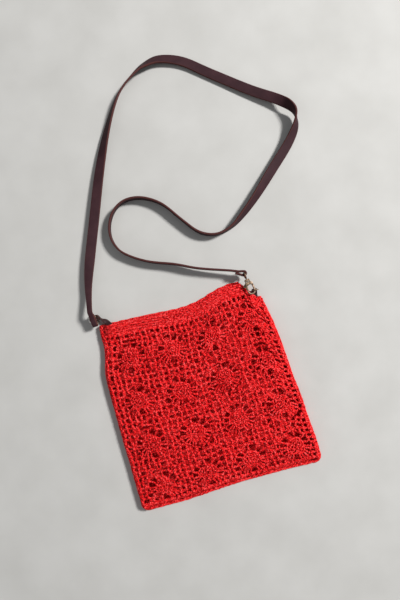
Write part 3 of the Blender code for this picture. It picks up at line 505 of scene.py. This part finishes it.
def flower_bars():
    """Spokes of every flower, as starts and ends in cells, and the paths of its two rings."""
    starts, ends, rings = [], [], []
    for centre in flower_centres():
        tilt = rng.normal(0, FLOWER_TILT)
        for angle, count in SPOKES:
            for n in range(count):
                turn = math.radians(angle + tilt + SPOKE_STEP * (n - (count - 1) / 2))
                way = np.array([math.cos(turn), math.sin(turn)])
                starts.append(centre + way * (RING_INNER - SPOKE_OVERLAP))
                ends.append(centre + way * (RING_OUTER + SPOKE_OVERLAP))
        around = np.linspace(0, 2 * math.pi, RING_POINTS)
        for reach in (RING_INNER, RING_OUTER):
            wander = rng.normal(0, RING_STRAY, 3)
            waves = sum(w * np.sin((n + 3) * around + w * 40) for n, w in enumerate(wander))
            ripple = reach + waves * RING_RIPPLE
            rings.append(centre + np.stack([ripple * np.cos(around), ripple * np.sin(around)], -1))
    return np.array(starts), np.array(ends), np.array(rings)


def lace(material):
    """The front: filet mesh and flowers in twisted yarn, in three pieces from bottom to top."""
    posts, chains, knots = mesh_bars()
    starts, ends, rings = flower_bars()
    groups = []

    def add(cells, turns, lift, rope=MESH_ROPE, swell=0.0):
        normals = lace_normals(cells)
        count = len(cells)
        rise = np.sin(math.pi * np.linspace(0, 1, cells.shape[1]))[None, :, None]
        high = np.reshape(lift, (-1, 1, 1)) + rng.normal(0, LIFT_STRAY, (count, 1, 1)) + rise * swell
        centres = lace_point(cells) + normals * high
        paths, ups = strands(centres, normals, turns, rope, rng.uniform(0, math.pi, count))
        sizes = rope.radius * rng.uniform(0.94, 1.06, 2 * count)
        row = np.concatenate([cells[:, :, 1].mean(1)] * 2)
        groups.append((paths, ups, sizes, row))

    post_runs = straight_runs(*posts, rng.normal(0, POST_BOW, len(posts[0])))
    add(post_runs, MESH_TURNS, 0.0, swell=POST_SWELL)
    chain_runs = straight_runs(*chains, rng.normal(CHAIN_SAG, CHAIN_BOW, len(chains[0])))
    add(chain_runs, MESH_TURNS, CHAIN_LIFT)
    spoke_runs = straight_runs(starts, ends, rng.normal(0, SPOKE_BOW, len(starts)))
    add(spoke_runs, SPOKE_TURNS, 0.0, SPOKE_ROPE, SPOKE_SWELL)
    ring_lengths = np.linalg.norm(np.diff(rings, axis=1), axis=2).sum(1)
    turns = np.maximum(LEAST_RING_TURNS, np.round(ring_lengths * RING_TURNS_A_CELL))
    add(rings, turns, np.tile([INNER_RING_LIFT, OUTER_RING_LIFT], FLOWERS * FLOWERS), RING_ROPE)

    def add_knots(spots, knot, turn, lean):
        angle = np.linspace(0, 2 * math.pi, KNOT_POINTS)
        cells = np.repeat(spots[:, None], len(angle), 1)
        normals = lace_normals(cells)
        level = unit(lace_point(cells + [0.2, 0]) - lace_point(cells - [0.2, 0]))
        upward = np.cross(normals, level)
        turn, lean = np.reshape(turn, (-1, 1, 1)), np.reshape(lean, (-1, 1, 1))
        right = level * np.cos(turn) + upward * np.sin(turn)
        above = np.cross(normals, right)
        wave = np.cos(angle)[None, :, None]
        loop = right * wave * knot.across + normals * (np.sin(angle)[None, :, None] * knot.tall + KNOT_LIFT)
        loop = loop + above * wave * lean * KNOT_LEAN
        sizes = np.full(len(spots), knot.radius)
        groups.append((lace_point(cells) + loop, above + 0 * loop, sizes, spots[:, 1]))

    add_knots(knots, MESH_KNOT, np.zeros(len(knots)), rng.normal(0.35, 0.2, len(knots)))
    turn = GOLDEN_ANGLE * np.arange(CORE_KNOTS)
    reach = RING_INNER * np.sqrt((np.arange(CORE_KNOTS) + 0.5) / CORE_KNOTS)
    wheel = reach[:, None] * np.stack([np.cos(turn), np.sin(turn)], -1)
    spots = (flower_centres()[:, None] + wheel).reshape(-1, 2)
    spots = spots + rng.normal(0, CORE_STRAY, spots.shape)
    turns = np.tile(turn, FLOWERS * FLOWERS) + rng.normal(math.pi / 2, 0.5, len(spots))
    add_knots(spots, CORE_KNOT, turns, rng.normal(0, 0.3, len(spots)))

    for name, low, high in LACE_PIECES:
        parts = []
        for paths, ups, sizes, row in groups:
            pick = (row >= low) & (row < high)
            parts.append(tubes(paths[pick], ups[pick], sizes[pick]))
        yarn_piece(name, parts, material, ["front_panel"])


def rope_rows(rows, normals, rope, pitch=TWIST_LENGTH):
    """Rows of twisted rope, every second one twisted the other way, so that pairs read as stitches."""
    lengths = np.linalg.norm(np.diff(rows, axis=1), axis=2).sum(1)
    hand = np.where(np.arange(len(rows)) % 2, 1.0, -1.0)
    paths, ups = strands(rows, normals, hand * np.round(lengths / pitch), rope, 0.0)
    return tubes(paths, ups, rope.radius)


def even(points, count):
    """A path's points set evenly along it."""
    run = np.concatenate([[0], np.cumsum(np.linalg.norm(np.diff(points, axis=0), axis=1))])
    places = np.linspace(0, run[-1], count)
    return np.stack([np.interp(places, run, points[:, n]) for n in range(points.shape[1])], -1)


def backing(rows):
    """A thin sheet behind rows, so that no light passes between them: points, quads and yarn places."""
    count, steps = rows.shape[:2]
    n, m = np.meshgrid(np.arange(count - 1), np.arange(steps - 1), indexing="ij")
    first = (n * steps + m).ravel()
    quads = np.stack([first, first + 1, first + steps + 1, first + steps], -1)
    run = rows[..., :2] * 1000
    return rows.reshape(-1, 3), quads, run.reshape(-1, 2)[quads]


def back(material):
    """The back in plain close rows, flat on the floor."""
    top = 1 - (BAND_HEIGHT + SEAM_GAP) / BAG_HEIGHT
    count = round(BAG_HEIGHT * top / ROW_PITCH)
    across = np.linspace(FACE_EDGE, 1 - FACE_EDGE, BACK_POINTS)[None, :]
    up = np.linspace(BACK_EDGE, top - BACK_EDGE, count)[:, None]
    x, y = face_plan(across, up + 0 * across)
    rows = np.stack([x, y, np.full_like(x, WALL / 2)], -1)
    normals = np.zeros_like(rows) + [0, 0, 1]
    part = rope_rows(rows, normals, BACK_ROPE, 2 * ROW_PITCH)
    yarn_piece("back_rows", [part, backing(rows)], material, ["back_panel"])


def band_point(part, share, level):
    """A point of the band's middle layer and the way out of it, on its front, ends or back."""
    across = {"front": share, "right": 1.0 + 0 * share, "back": share, "left": 0 * share}[part]
    rise = {"front": 0 * share, "right": share, "back": 1 + 0 * share, "left": 1 - share}[part]
    up = blend(1 - BAND_HEIGHT / BAG_HEIGHT, 1.0, level) + 0 * share
    x, y = face_plan(across, up)
    y = y + BACK_RISE * rise * level * np.sin(math.pi * across)
    edge = front_depth(across, up)
    zero = 0 * x
    if part == "front":
        return np.stack([x, y, edge - WALL / 2], -1), np.stack([zero, zero, zero + 1], -1)
    if part == "back":
        return np.stack([x, y, zero + WALL / 2], -1), np.stack([zero, zero, zero - 1], -1)
    angle = math.pi / 2 - math.pi * (share if part == "right" else 1 - share)
    side = 1 if part == "right" else -1
    reach = side * (GUSSET_BULGE - WALL / 2) * np.cos(angle)
    height = edge / 2 + (edge / 2 - WALL / 2) * np.sin(angle)
    return np.stack([x + reach, y, height], -1), np.stack([side * np.cos(angle), zero, np.sin(angle)], -1)


def band(material):
    """Close rows round the mouth, one of them a raised ridge."""
    rows, ways = [], []
    for level, lift in BAND_ROWS:
        long, turn = np.linspace(0, 1, FRONT_POINTS), np.linspace(0, 1, 8)[1:-1]
        rear = level * BACK_LEVEL
        parts = [band_point("front", long, level), band_point("right", turn, blend(level, rear, turn))]
        parts += [band_point("back", long[::-1], rear), band_point("left", turn, blend(rear, level, turn))]
        parts.append([first[:1] for first in parts[0]])
        points = np.concatenate([p[0] + p[1] * lift for p in parts])
        outward = np.concatenate([p[1] for p in parts])
        both = even(np.concatenate([points, outward], 1), BAND_POINTS)
        rows.append(both[:, :3])
        ways.append(unit(both[:, 3:]))
    rows, ways = np.array(rows), np.array(ways)
    parts = [rope_rows(rows, ways, BAND_ROPE), backing(rows - BACKING_DEPTH * ways)]
    yarn_piece("mouth_band", parts, material, ["top_band"])


def gusset(material):
    """Ribs of close stitches down both sides and round the bottom."""
    top = float(line_share(np.array(float(LINES))))
    rise = np.linspace(0, 1, SIDE_POINTS) ** 1.3 * top
    bottom = np.linspace(0, 1, SIDE_POINTS)[1:-1]
    across = np.concatenate([np.zeros(SIDE_POINTS), bottom, np.ones(SIDE_POINTS)])
    up = np.concatenate([rise[::-1], 0 * bottom, rise])
    x, y = face_plan(across, up)
    plan = np.stack([x, y], -1)
    along = unit(np.gradient(plan, axis=0))
    outward = np.stack([along[:, 1], -along[:, 0]], -1)
    outward[0], outward[-1] = (-1, 0), (1, 0)
    edge = front_depth(across, up)
    rows, ways = [], []
    for degrees in RIB_ANGLES:
        angle = math.radians(degrees)
        reach = (GUSSET_BULGE - WALL / 2) * math.cos(angle)
        height = edge / 2 + (edge / 2 - WALL / 2) * math.sin(angle)
        spot = np.column_stack([plan + outward * reach, height])
        way = np.column_stack([outward * math.cos(angle), 0 * height + math.sin(angle)])
        both = even(np.concatenate([spot, way], 1), RIB_POINTS)
        rows.append(both[:, :3])
        ways.append(unit(both[:, 3:]))
    rows, ways = np.array(rows), np.array(ways)
    parts = [rope_rows(rows, ways, RIB_ROPE), backing(rows - BACKING_DEPTH * ways)]
    yarn_piece("gusset_ribs", parts, material, ["side_gusset"])


# Leather strips
Station = namedtuple("Station", "spot side width")
Frame = namedtuple("Frame", "spot side face width")


def smooth_path(points, steps):
    """Points of a Catmull-Rom curve through the given vectors."""
    last = len(points) - 1
    result = []
    for k in range(last):
        p = [points[min(max(k + n, 0), last)] for n in (-1, 0, 1, 2)]
        for step in range(steps):
            t = step / steps
            bend = (2 * p[0] - 5 * p[1] + 4 * p[2] - p[3]) * t * t
            cubic = (3 * p[1] - p[0] - 3 * p[2] + p[3]) * t**3
            result.append((2 * p[1] + (p[2] - p[0]) * t + bend + cubic) / 2)
    result.append(points[-1].copy())
    return result


def tangents(points):
    last = len(points) - 1
    return [(points[min(k + 1, last)] - points[max(k - 1, 0)]).normalized() for k in range(last + 1)]


def fold_back(frames, wire, thickness, tail):
    """Stations of a strip that goes round a bar at the last frame and back along itself by tail."""
    loop = wire + FIT_GAP + thickness / 2
    flat = (thickness + PLY_GAP) / 2
    bar = frames[-1]
    out = (bar.spot - frames[-2].spot).normalized()

    def offset(frame):
        return blend(loop, flat, smooth_step((frame.spot - bar.spot).length / (3.2 * loop)))

    stations = [Station(f.spot + f.face * offset(f), f.side, f.width) for f in frames]
    steps = 12
    for k in range(1, steps):
        angle = math.pi * k / steps
        around = bar.face * math.cos(angle) + out * math.sin(angle)
        stations.append(Station(bar.spot + around * loop, bar.side, bar.width))
    for f in reversed(frames):
        if (f.spot - bar.spot).length <= tail:
            stations.append(Station(f.spot - f.face * offset(f), f.side, f.width))
    return stations


def straight_frames(bar, out, side, face, width):
    """Frames along a strap end's straight run to its bar; face points to the upper ply."""
    steps = 8
    return [Frame(bar - out * FOLD_RUN * (1 - k / steps), side, face, width) for k in range(steps + 1)]


def mouth_corner(side):
    """The mouth's outer corner on side -1 or 1, in plan."""
    x, y = face_plan(0.0 if side < 0 else 1.0, 1.0)
    return Vector((float(x) + side * GUSSET_BULGE, float(y), 0.0))


def tab_level():
    return WALL + SEAM_GAP + TAB_THICKNESS + PLY_GAP / 2


def eye_bar():
    """The bar of the swivel's eye, along the swivel's axis from its joint."""
    joint = [j for j in frame["record"]["behaviour"]["joints"] if j["name"] == "clasp_swivel"][0]
    return Vector(joint["pos_m"]) + Vector(joint["axis"]).normalized() * EYE_LENGTH


def link_bar():
    corner = mouth_corner(-1)
    return Vector((corner.x - LINK_ASIDE, corner.y + LINK_BEYOND, LINK_BAR_HEIGHT))


def strap_stations():
    """The strap's stations, folded round a bar at each end."""
    bars = []
    left_out = Vector(LEFT_HEADING).normalized()
    left_side = left_out.cross(Vector((0, 0, 1))).normalized()
    left_face = left_side.cross(left_out)
    left = straight_frames(link_bar(), left_out, left_side, left_face, LEFT_END_WIDTH)
    bars.append(fold_back(left, LINK_WIRE, STRAP_THICKNESS, TAIL_LENGTH))
    right_out = Vector(RIGHT_HEADING).normalized()
    upright = Vector((0, 0, 1))
    right_face = upright.cross(right_out)
    right = straight_frames(eye_bar(), right_out, upright, right_face, RIGHT_END_WIDTH)
    bars.append(fold_back(right, EYE_WIRE, STRAP_THICKNESS, TAIL_LENGTH))
    start, end = bars[0][0].spot, bars[1][0].spot
    corner = mouth_corner(-1)
    spots, leans = [start], [0.0]
    for way in STRAP_WAY:
        lean = math.radians(way.lean)
        seat = abs(math.sin(lean)) * STRAP_WIDTH / 2 + abs(math.cos(lean)) * STRAP_THICKNESS / 2
        height = seat + FIT_GAP + way.raised * STRAP_WIDTH
        spots.append(Vector((way.across * BAG_WIDTH, corner.y + way.up * LOOP_REACH, height)))
        leans.append(way.lean)
    spots.append(end)
    leans.append(90.0)
    spacing, lead = 3, 0.006
    path = smooth_path([start + left_out * lead] + spots + [end + right_out * lead], spacing)
    path = path[spacing:-spacing]
    angles = smooth_path([Vector((a, 0, 0)) for a in leans], spacing)
    lengths = [0.0]
    for a, b in zip(path, path[1:]):
        lengths.append(lengths[-1] + (b - a).length)
    middle = []
    for k, (spot, t) in enumerate(zip(path, tangents(path))):
        level = Vector((-t.y, t.x, 0)).normalized()
        side = level.copy()
        side.rotate(Matrix.Rotation(math.radians(angles[k].x), 3, t))
        left_share = smooth_step(lengths[k] / END_TAPER)
        right_share = smooth_step((lengths[-1] - lengths[k]) / END_TAPER)
        width = blend(LEFT_END_WIDTH, STRAP_WIDTH, left_share) if left_share < 1 else STRAP_WIDTH
        width = min(width, blend(RIGHT_END_WIDTH, STRAP_WIDTH, right_share))
        middle.append(Station(spot, side, width))
    return bars[0][::-1] + middle[1:-1] + bars[1]


def tab_right_stations():
    """A flat folded tab from inside the mouth's right corner."""
    corner = mouth_corner(1)
    inset = WALL + 0.0010 + TAB_WIDTH / 2
    lift = RING_WIRE + FIT_GAP + TAB_THICKNESS
    bar = Vector((corner.x - inset, corner.y + RIGHT_RING_BEYOND, tab_level() + lift))
    low = tab_level()
    side = Vector((-1, 0, 0))
    reach = TAB_TUCK + RIGHT_RING_BEYOND
    spots = []
    for k in range(13):
        back = reach * (1 - k / 12)
        height = blend(bar.z, low, smooth_step(back / TAB_RISE))
        spots.append(Vector((bar.x - 0.08 * back, bar.y - back, height)))
    frames = [Frame(s, side, t.cross(side).normalized(), TAB_WIDTH) for s, t in zip(spots, tangents(spots))]
    return fold_back(frames, RING_WIRE, TAB_THICKNESS, TAB_TAIL)


def tab_left_stations():
    """A folded tab from inside the mouth's left corner that turns on edge to the left ring's bar."""
    corner = mouth_corner(-1)
    half = TAB_WIDTH / 2 + FIT_GAP + RING_WIRE
    bar = Vector((corner.x, corner.y + LEFT_RING_BEYOND, half + RING_WIRE + FIT_GAP))
    points = [
        Vector((corner.x + 0.0240, corner.y - TAB_TUCK, tab_level())),
        Vector((corner.x + 0.0165, corner.y - 0.0060, tab_level())),
        Vector((corner.x + 0.0110, corner.y + 0.0020, tab_level())),
        bar + Vector((0.0042, -0.0046, 0.0)),
        bar,
    ]
    path = smooth_path(points, 6)
    frames = []
    for k, (spot, t) in enumerate(zip(path, tangents(path))):
        turn = smooth_step((k - 11) / 7) * math.pi / 2
        side = Vector((-t.y, t.x, 0)).normalized()
        side.rotate(Matrix.Rotation(turn, 3, t))
        frames.append(Frame(spot, side, t.cross(side).normalized(), TAB_WIDTH))
    return fold_back(frames, RING_WIRE, TAB_THICKNESS, TAB_TAIL)


def strip(name, node, stations, thickness, material):
    """A leather strip with rounded edges and a pressed line along each, in place of a solid."""
    spots = smooth_path([s.spot for s in stations], 3)
    sides = smooth_path([s.side for s in stations], 3)
    widths = smooth_path([Vector((s.width, 0, 0)) for s in stations], 3)
    half = thickness / 2
    bevel = 0.30 * half
    # Round the strip: share of its half width, metres added to that, share of its half thickness
    section = [(-1, 0, -0.55), (-1, bevel, -1), (-0.80, 0, -0.96), (-0.74, 0, -1), (0, 0, -1), (0.74, 0, -1)]
    section += [(0.80, 0, -0.96), (1, -bevel, -1), (1, 0, -0.55)]
    section += [(a, b, -c) for a, b, c in reversed(section)]
    points, lengths = [], [0.0]
    for k, (spot, side, t) in enumerate(zip(spots, sides, tangents(spots))):
        side = (side - t * side.dot(t)).normalized()
        across = t.cross(side)
        wide = widths[k].x / 2
        points += [spot + side * (a * wide + b) + across * (c * half) for a, b, c in section]
        lengths.append(lengths[-1] + (spots[min(k + 1, len(spots) - 1)] - spot).length)
    ring = len(section)
    faces, places = [], []
    for k in range(len(spots) - 1):
        for a in range(ring):
            b = (a + 1) % ring
            faces.append([k * ring + a, k * ring + b, (k + 1) * ring + b, (k + 1) * ring + a])
            low, high = lengths[k] * 1000, lengths[k + 1] * 1000
            left, right = section[a][0], section[b][0]
            places += [(low, left), (low, right), (high, right), (high, left)]
    last = (len(spots) - 1) * ring
    faces += [list(range(ring))[::-1], list(range(last, last + ring))]
    places += [(0, 1)] * (2 * ring)
    mesh = bpy.data.meshes.new(name)
    mesh.from_pydata([tuple(v) for v in points], [], faces)
    layer = mesh.uv_layers.new(name="strip")
    layer.uv.foreach_set("vector", np.array(places, np.float32).ravel())
    mesh.shade_smooth()
    mesh.materials.append(material)
    made = bpy.data.objects.new(name, mesh)
    bpy.context.scene.collection.objects.link(made)
    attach(made, "bag")
    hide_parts(node)


# Brass fittings
def fitting(name, node, body, material, edge=None):
    """A finer copy of a fitting: its wire rounded, or where edge is given its sharp edges eased by edge."""
    model = bmesh.new()
    model.from_mesh(frame["nodes"][node].data)
    bmesh.ops.remove_doubles(model, verts=model.verts, dist=1e-6)
    bmesh.ops.join_triangles(model, faces=model.faces, angle_face_threshold=0.7, angle_shape_threshold=3.14)
    if edge:
        outward = [e for e in model.edges if len(e.link_faces) == 2 and e.is_convex]
        sharp = [e for e in outward if e.calc_face_angle() > SHARP_EDGE]
        bmesh.ops.bevel(
            model, geom=sharp, offset=edge, segments=2, profile=0.5, affect="EDGES", clamp_overlap=True
        )
    mesh = bpy.data.meshes.new(name)
    model.to_mesh(mesh)
    model.free()
    mesh.shade_smooth()
    if edge:
        mesh.set_sharp_from_angle(angle=SHARP_SHADE)
    mesh.materials.clear()
    mesh.materials.append(material)
    made = bpy.data.objects.new(name, mesh)
    bpy.context.scene.collection.objects.link(made)
    if not edge:
        step = made.modifiers.new("round", "SUBSURF")
        step.levels = 2
        step.render_levels = 2
    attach(made, body)
    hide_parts(node)


# Materials
def new_material(name, roughness, metallic=0.0):
    material = bpy.data.materials.new(name)
    material.use_nodes = True
    shader = material.node_tree.nodes["Principled BSDF"]
    shader.inputs["Roughness"].default_value = roughness
    shader.inputs["Metallic"].default_value = metallic
    return material, material.node_tree, shader


def add_node(tree, kind, **values):
    node = tree.nodes.new(kind)
    for name, value in values.items():
        if name in node.inputs:
            node.inputs[name].default_value = value
        else:
            setattr(node, name, value)
    return node


def maths(tree, operation, first, second=None):
    node = tree.nodes.new("ShaderNodeMath")
    node.operation = operation
    for socket, value in zip(node.inputs, (first, second)):
        if value is None:
            continue
        if isinstance(value, (int, float)):
            socket.default_value = value
        else:
            tree.links.new(value, socket)
    return node.outputs[0]


def ramp(tree, factor, stops):
    """A colour ramp over rows of (place, colour)."""
    node = tree.nodes.new("ShaderNodeValToRGB")
    while len(node.color_ramp.elements) < len(stops):
        node.color_ramp.elements.new(0.5)
    for element, (place, colour) in zip(node.color_ramp.elements, stops):
        element.position = place
        element.color = (*colour, 1.0)
    tree.links.new(factor, node.inputs[0])
    return node.outputs[0]


def noise(tree, scale, detail=2.0, roughness=0.5):
    """Noise in the object's own millimetres: scale is its size in them."""
    place = tree.nodes.new("ShaderNodeTexCoord").outputs["Object"]
    node = tree.nodes.new("ShaderNodeTexNoise")
    node.inputs["Scale"].default_value = 1000.0 / scale
    node.inputs["Detail"].default_value = detail
    node.inputs["Roughness"].default_value = roughness
    tree.links.new(place, node.inputs["Vector"])
    return node.outputs["Fac"]


def bump(tree, shader, height, strength, distance):
    node = tree.nodes.new("ShaderNodeBump")
    node.inputs["Strength"].default_value = strength
    node.inputs["Distance"].default_value = distance
    tree.links.new(height, node.inputs["Height"])
    tree.links.new(node.outputs[0], shader.inputs["Normal"])


def yarn_material():
    """Bright red cotton: three plies wound round each strand, loose fibres and uneven dye, with painted
    shade in the ply grooves and a stitch-sized noise of painted crevice shade and painted highlights.
    """
    material, tree, shader = new_material("red_yarn", 0.82)
    place = add_node(tree, "ShaderNodeUVMap", uv_map="yarn").outputs[0]
    split = tree.nodes.new("ShaderNodeSeparateXYZ")
    tree.links.new(place, split.inputs[0])
    along = maths(tree, "MULTIPLY", split.outputs[0], 0.42)
    around = maths(tree, "MULTIPLY", split.outputs[1], 3.0)
    wound = maths(tree, "ADD", along, around)
    ply = maths(tree, "ABSOLUTE", maths(tree, "SINE", maths(tree, "MULTIPLY", wound, math.pi)))
    fibre = noise(tree, 0.45, 3.0, 0.7)
    # Stitch-sized relief: bump height here, and in the colour below painted shade in crevices and painted
    # highlights on stitch tops
    stitch = maths(tree, "SUBTRACT", noise(tree, 2.1, 2.0, 0.65), 0.5)
    dye = noise(tree, 30.0, 3.0, 0.6)
    height = maths(tree, "ADD", maths(tree, "MULTIPLY", ply, 0.45), maths(tree, "MULTIPLY", fibre, 0.5))
    height = maths(tree, "ADD", height, maths(tree, "MULTIPLY", stitch, 2.4))
    bump(tree, shader, height, 1.0, 0.0006)
    # Colour: the ply pattern paints shade into the grooves between plies, and the stitch noise paints shade
    # into crevices and highlights onto stitches; the dye and fibre noise are the yarn's own uneven tone
    dye_and_painted_light = maths(tree, "ADD", maths(tree, "MULTIPLY", ply, 0.20), maths(tree, "MULTIPLY", dye, 0.25))
    dye_and_painted_light = maths(tree, "ADD", dye_and_painted_light, maths(tree, "MULTIPLY", fibre, 0.30))
    dye_and_painted_light = maths(tree, "ADD", dye_and_painted_light, maths(tree, "MULTIPLY", stitch, 2.5))
    tree.links.new(ramp(tree, dye_and_painted_light, YARN_TONES_AND_PAINTED_LIGHT), shader.inputs["Base Color"])
    shader.inputs["Sheen Weight"].default_value = 0.06
    shader.inputs["Sheen Roughness"].default_value = 0.5
    shader.inputs["Sheen Tint"].default_value = YARN_SHEEN
    shader.inputs["Specular IOR Level"].default_value = 0.12
    return material


def leather_material(look):
    """Finished leather: fine grain, soft cloudy tone and its cut edges."""
    material, tree, shader = new_material(look.name, look.roughness)
    cloud = noise(tree, 14.0, 4.0, 0.6)
    fine = noise(tree, 0.5, 4.0, 0.65)
    cells = tree.nodes.new("ShaderNodeTexVoronoi")
    cells.inputs["Scale"].default_value = 1000.0 / look.grain
    tree.links.new(tree.nodes.new("ShaderNodeTexCoord").outputs["Object"], cells.inputs["Vector"])
    pore = maths(tree, "MULTIPLY", cells.outputs["Distance"], 0.9)
    bump(tree, shader, maths(tree, "ADD", pore, maths(tree, "MULTIPLY", fine, 0.7)), 0.5, 0.00012)
    tone = maths(tree, "ADD", maths(tree, "MULTIPLY", cloud, 0.75), maths(tree, "MULTIPLY", fine, 0.25))
    body = ramp(tree, tone, ((0.30, look.dark), (0.72, look.light)))
    place = add_node(tree, "ShaderNodeUVMap", uv_map="strip").outputs[0]
    split = tree.nodes.new("ShaderNodeSeparateXYZ")
    tree.links.new(place, split.inputs[0])
    rim = maths(tree, "GREATER_THAN", maths(tree, "ABSOLUTE", split.outputs[1]), 0.93)
    mix = tree.nodes.new("ShaderNodeMix")
    mix.data_type = "RGBA"
    mix.inputs["B"].default_value = (*look.edge, 1.0)
    tree.links.new(rim, mix.inputs["Factor"])
    tree.links.new(body, mix.inputs["A"])
    tree.links.new(mix.outputs["Result"], shader.inputs["Base Color"])
    shader.inputs["Specular IOR Level"].default_value = 0.13
    gloss = tree.nodes.new("ShaderNodeMapRange")
    gloss.inputs["To Min"].default_value = look.roughness - 0.08
    gloss.inputs["To Max"].default_value = look.roughness + 0.14
    tree.links.new(cloud, gloss.inputs["Value"])
    tree.links.new(gloss.outputs[0], shader.inputs["Roughness"])
    return material


def brass_material():
    """Antique brass: dark tarnish in the hollows, paler metal where it is rubbed."""
    material, tree, shader = new_material("antique_brass", 0.42, 1.0)
    stain = noise(tree, 3.0, 4.0, 0.65)
    fine = noise(tree, 0.4, 3.0, 0.6)
    rubbed = tree.nodes.new("ShaderNodeNewGeometry").outputs["Pointiness"]
    worn = maths(tree, "MULTIPLY", maths(tree, "SUBTRACT", rubbed, 0.5), 2.2)
    clouded = maths(tree, "ADD", maths(tree, "MULTIPLY", stain, 0.8), worn)
    tone = maths(tree, "ADD", clouded, maths(tree, "MULTIPLY", fine, 0.15))
    tree.links.new(ramp(tree, tone, BRASS_TONES), shader.inputs["Base Color"])
    gloss = tree.nodes.new("ShaderNodeMapRange")
    gloss.inputs["To Min"].default_value = 0.62
    gloss.inputs["To Max"].default_value = 0.46
    tree.links.new(tone, gloss.inputs["Value"])
    tree.links.new(gloss.outputs[0], shader.inputs["Roughness"])
    bump(tree, shader, maths(tree, "ADD", stain, maths(tree, "MULTIPLY", fine, 0.5)), 0.25, 0.0001)
    return material


def floor_material():
    material, tree, shader = new_material("pale_floor", 0.9)
    tree.links.new(ramp(tree, noise(tree, 60.0, 3.0), FLOOR_TONES), shader.inputs["Base Color"])
    return material


def stage_and_camera():
    """A plain pale floor, soft light from the photo's upper right, and the photo's view from above."""
    mesh = bpy.data.meshes.new("floor")
    corners = [(x * FLOOR_REACH, y * FLOOR_REACH, 0) for x, y in ((-1, -1), (1, -1), (1, 1), (-1, 1))]
    mesh.from_pydata(corners, [], [(0, 1, 2, 3)])
    mesh.materials.append(floor_material())
    floor = bpy.data.objects.new("floor", mesh)
    floor.location.z = -FLOOR_DROP
    bpy.context.scene.collection.objects.link(floor)

    aim = Vector(VIEW_AIM)
    camera_data = bpy.data.cameras.new("camera")
    camera_data.sensor_fit = "HORIZONTAL"
    camera_data.sensor_width = 36
    camera_data.lens = LENS
    camera = bpy.data.objects.new("camera", camera_data)
    camera.location = aim + Vector((0, 0, VIEW_HEIGHT))
    camera.rotation_euler = (0, 0, -VIEW_TURN)
    bpy.context.scene.collection.objects.link(camera)
    bpy.context.scene.camera = camera

    right = Vector((math.cos(VIEW_TURN), -math.sin(VIEW_TURN), 0))
    up = Vector((math.sin(VIEW_TURN), math.cos(VIEW_TURN), 0))
    for lamp in LAMPS:
        place = right * lamp.right + up * lamp.up + Vector((0, 0, lamp.height))
        data = bpy.data.lights.new(lamp.name, "AREA")
        data.size = lamp.size
        data.energy = lamp.power
        light = bpy.data.objects.new(lamp.name, data)
        light.location = aim + place
        light.rotation_euler = (-place).to_track_quat("-Z", "Y").to_euler()
        bpy.context.scene.collection.objects.link(light)
    world = bpy.data.worlds.new("world")
    world.use_nodes = True
    back_light = world.node_tree.nodes["Background"]
    back_light.inputs[0].default_value = SKY
    back_light.inputs[1].default_value = SKY_STRENGTH
    bpy.context.scene.world = world
    bpy.context.scene.view_settings.view_transform = "Standard"


def main():
    stage_and_camera()
    yarn = yarn_material()
    lace(yarn)
    back(yarn)
    band(yarn)
    gusset(yarn)
    brass = brass_material()
    leather = leather_material(STRAP_LEATHER)
    dark = leather_material(TAB_LEATHER)
    strip("leather_strap", "strap", strap_stations(), STRAP_THICKNESS, leather)
    strip("leather_tab_left", "tab_left", tab_left_stations(), TAB_THICKNESS, dark)
    strip("leather_tab_right", "tab_right", tab_right_stations(), TAB_THICKNESS, dark)
    for node in ("ring_left", "ring_right", "link_left", "swivel_eye"):
        fitting("brass_" + node, node, "bag", brass)
    fitting("brass_clasp_body", "clasp_body", "clasp", brass, EDGE_EASE)
    fitting("brass_clasp_lever", "clasp_lever", "lever", brass, EDGE_EASE)


main()
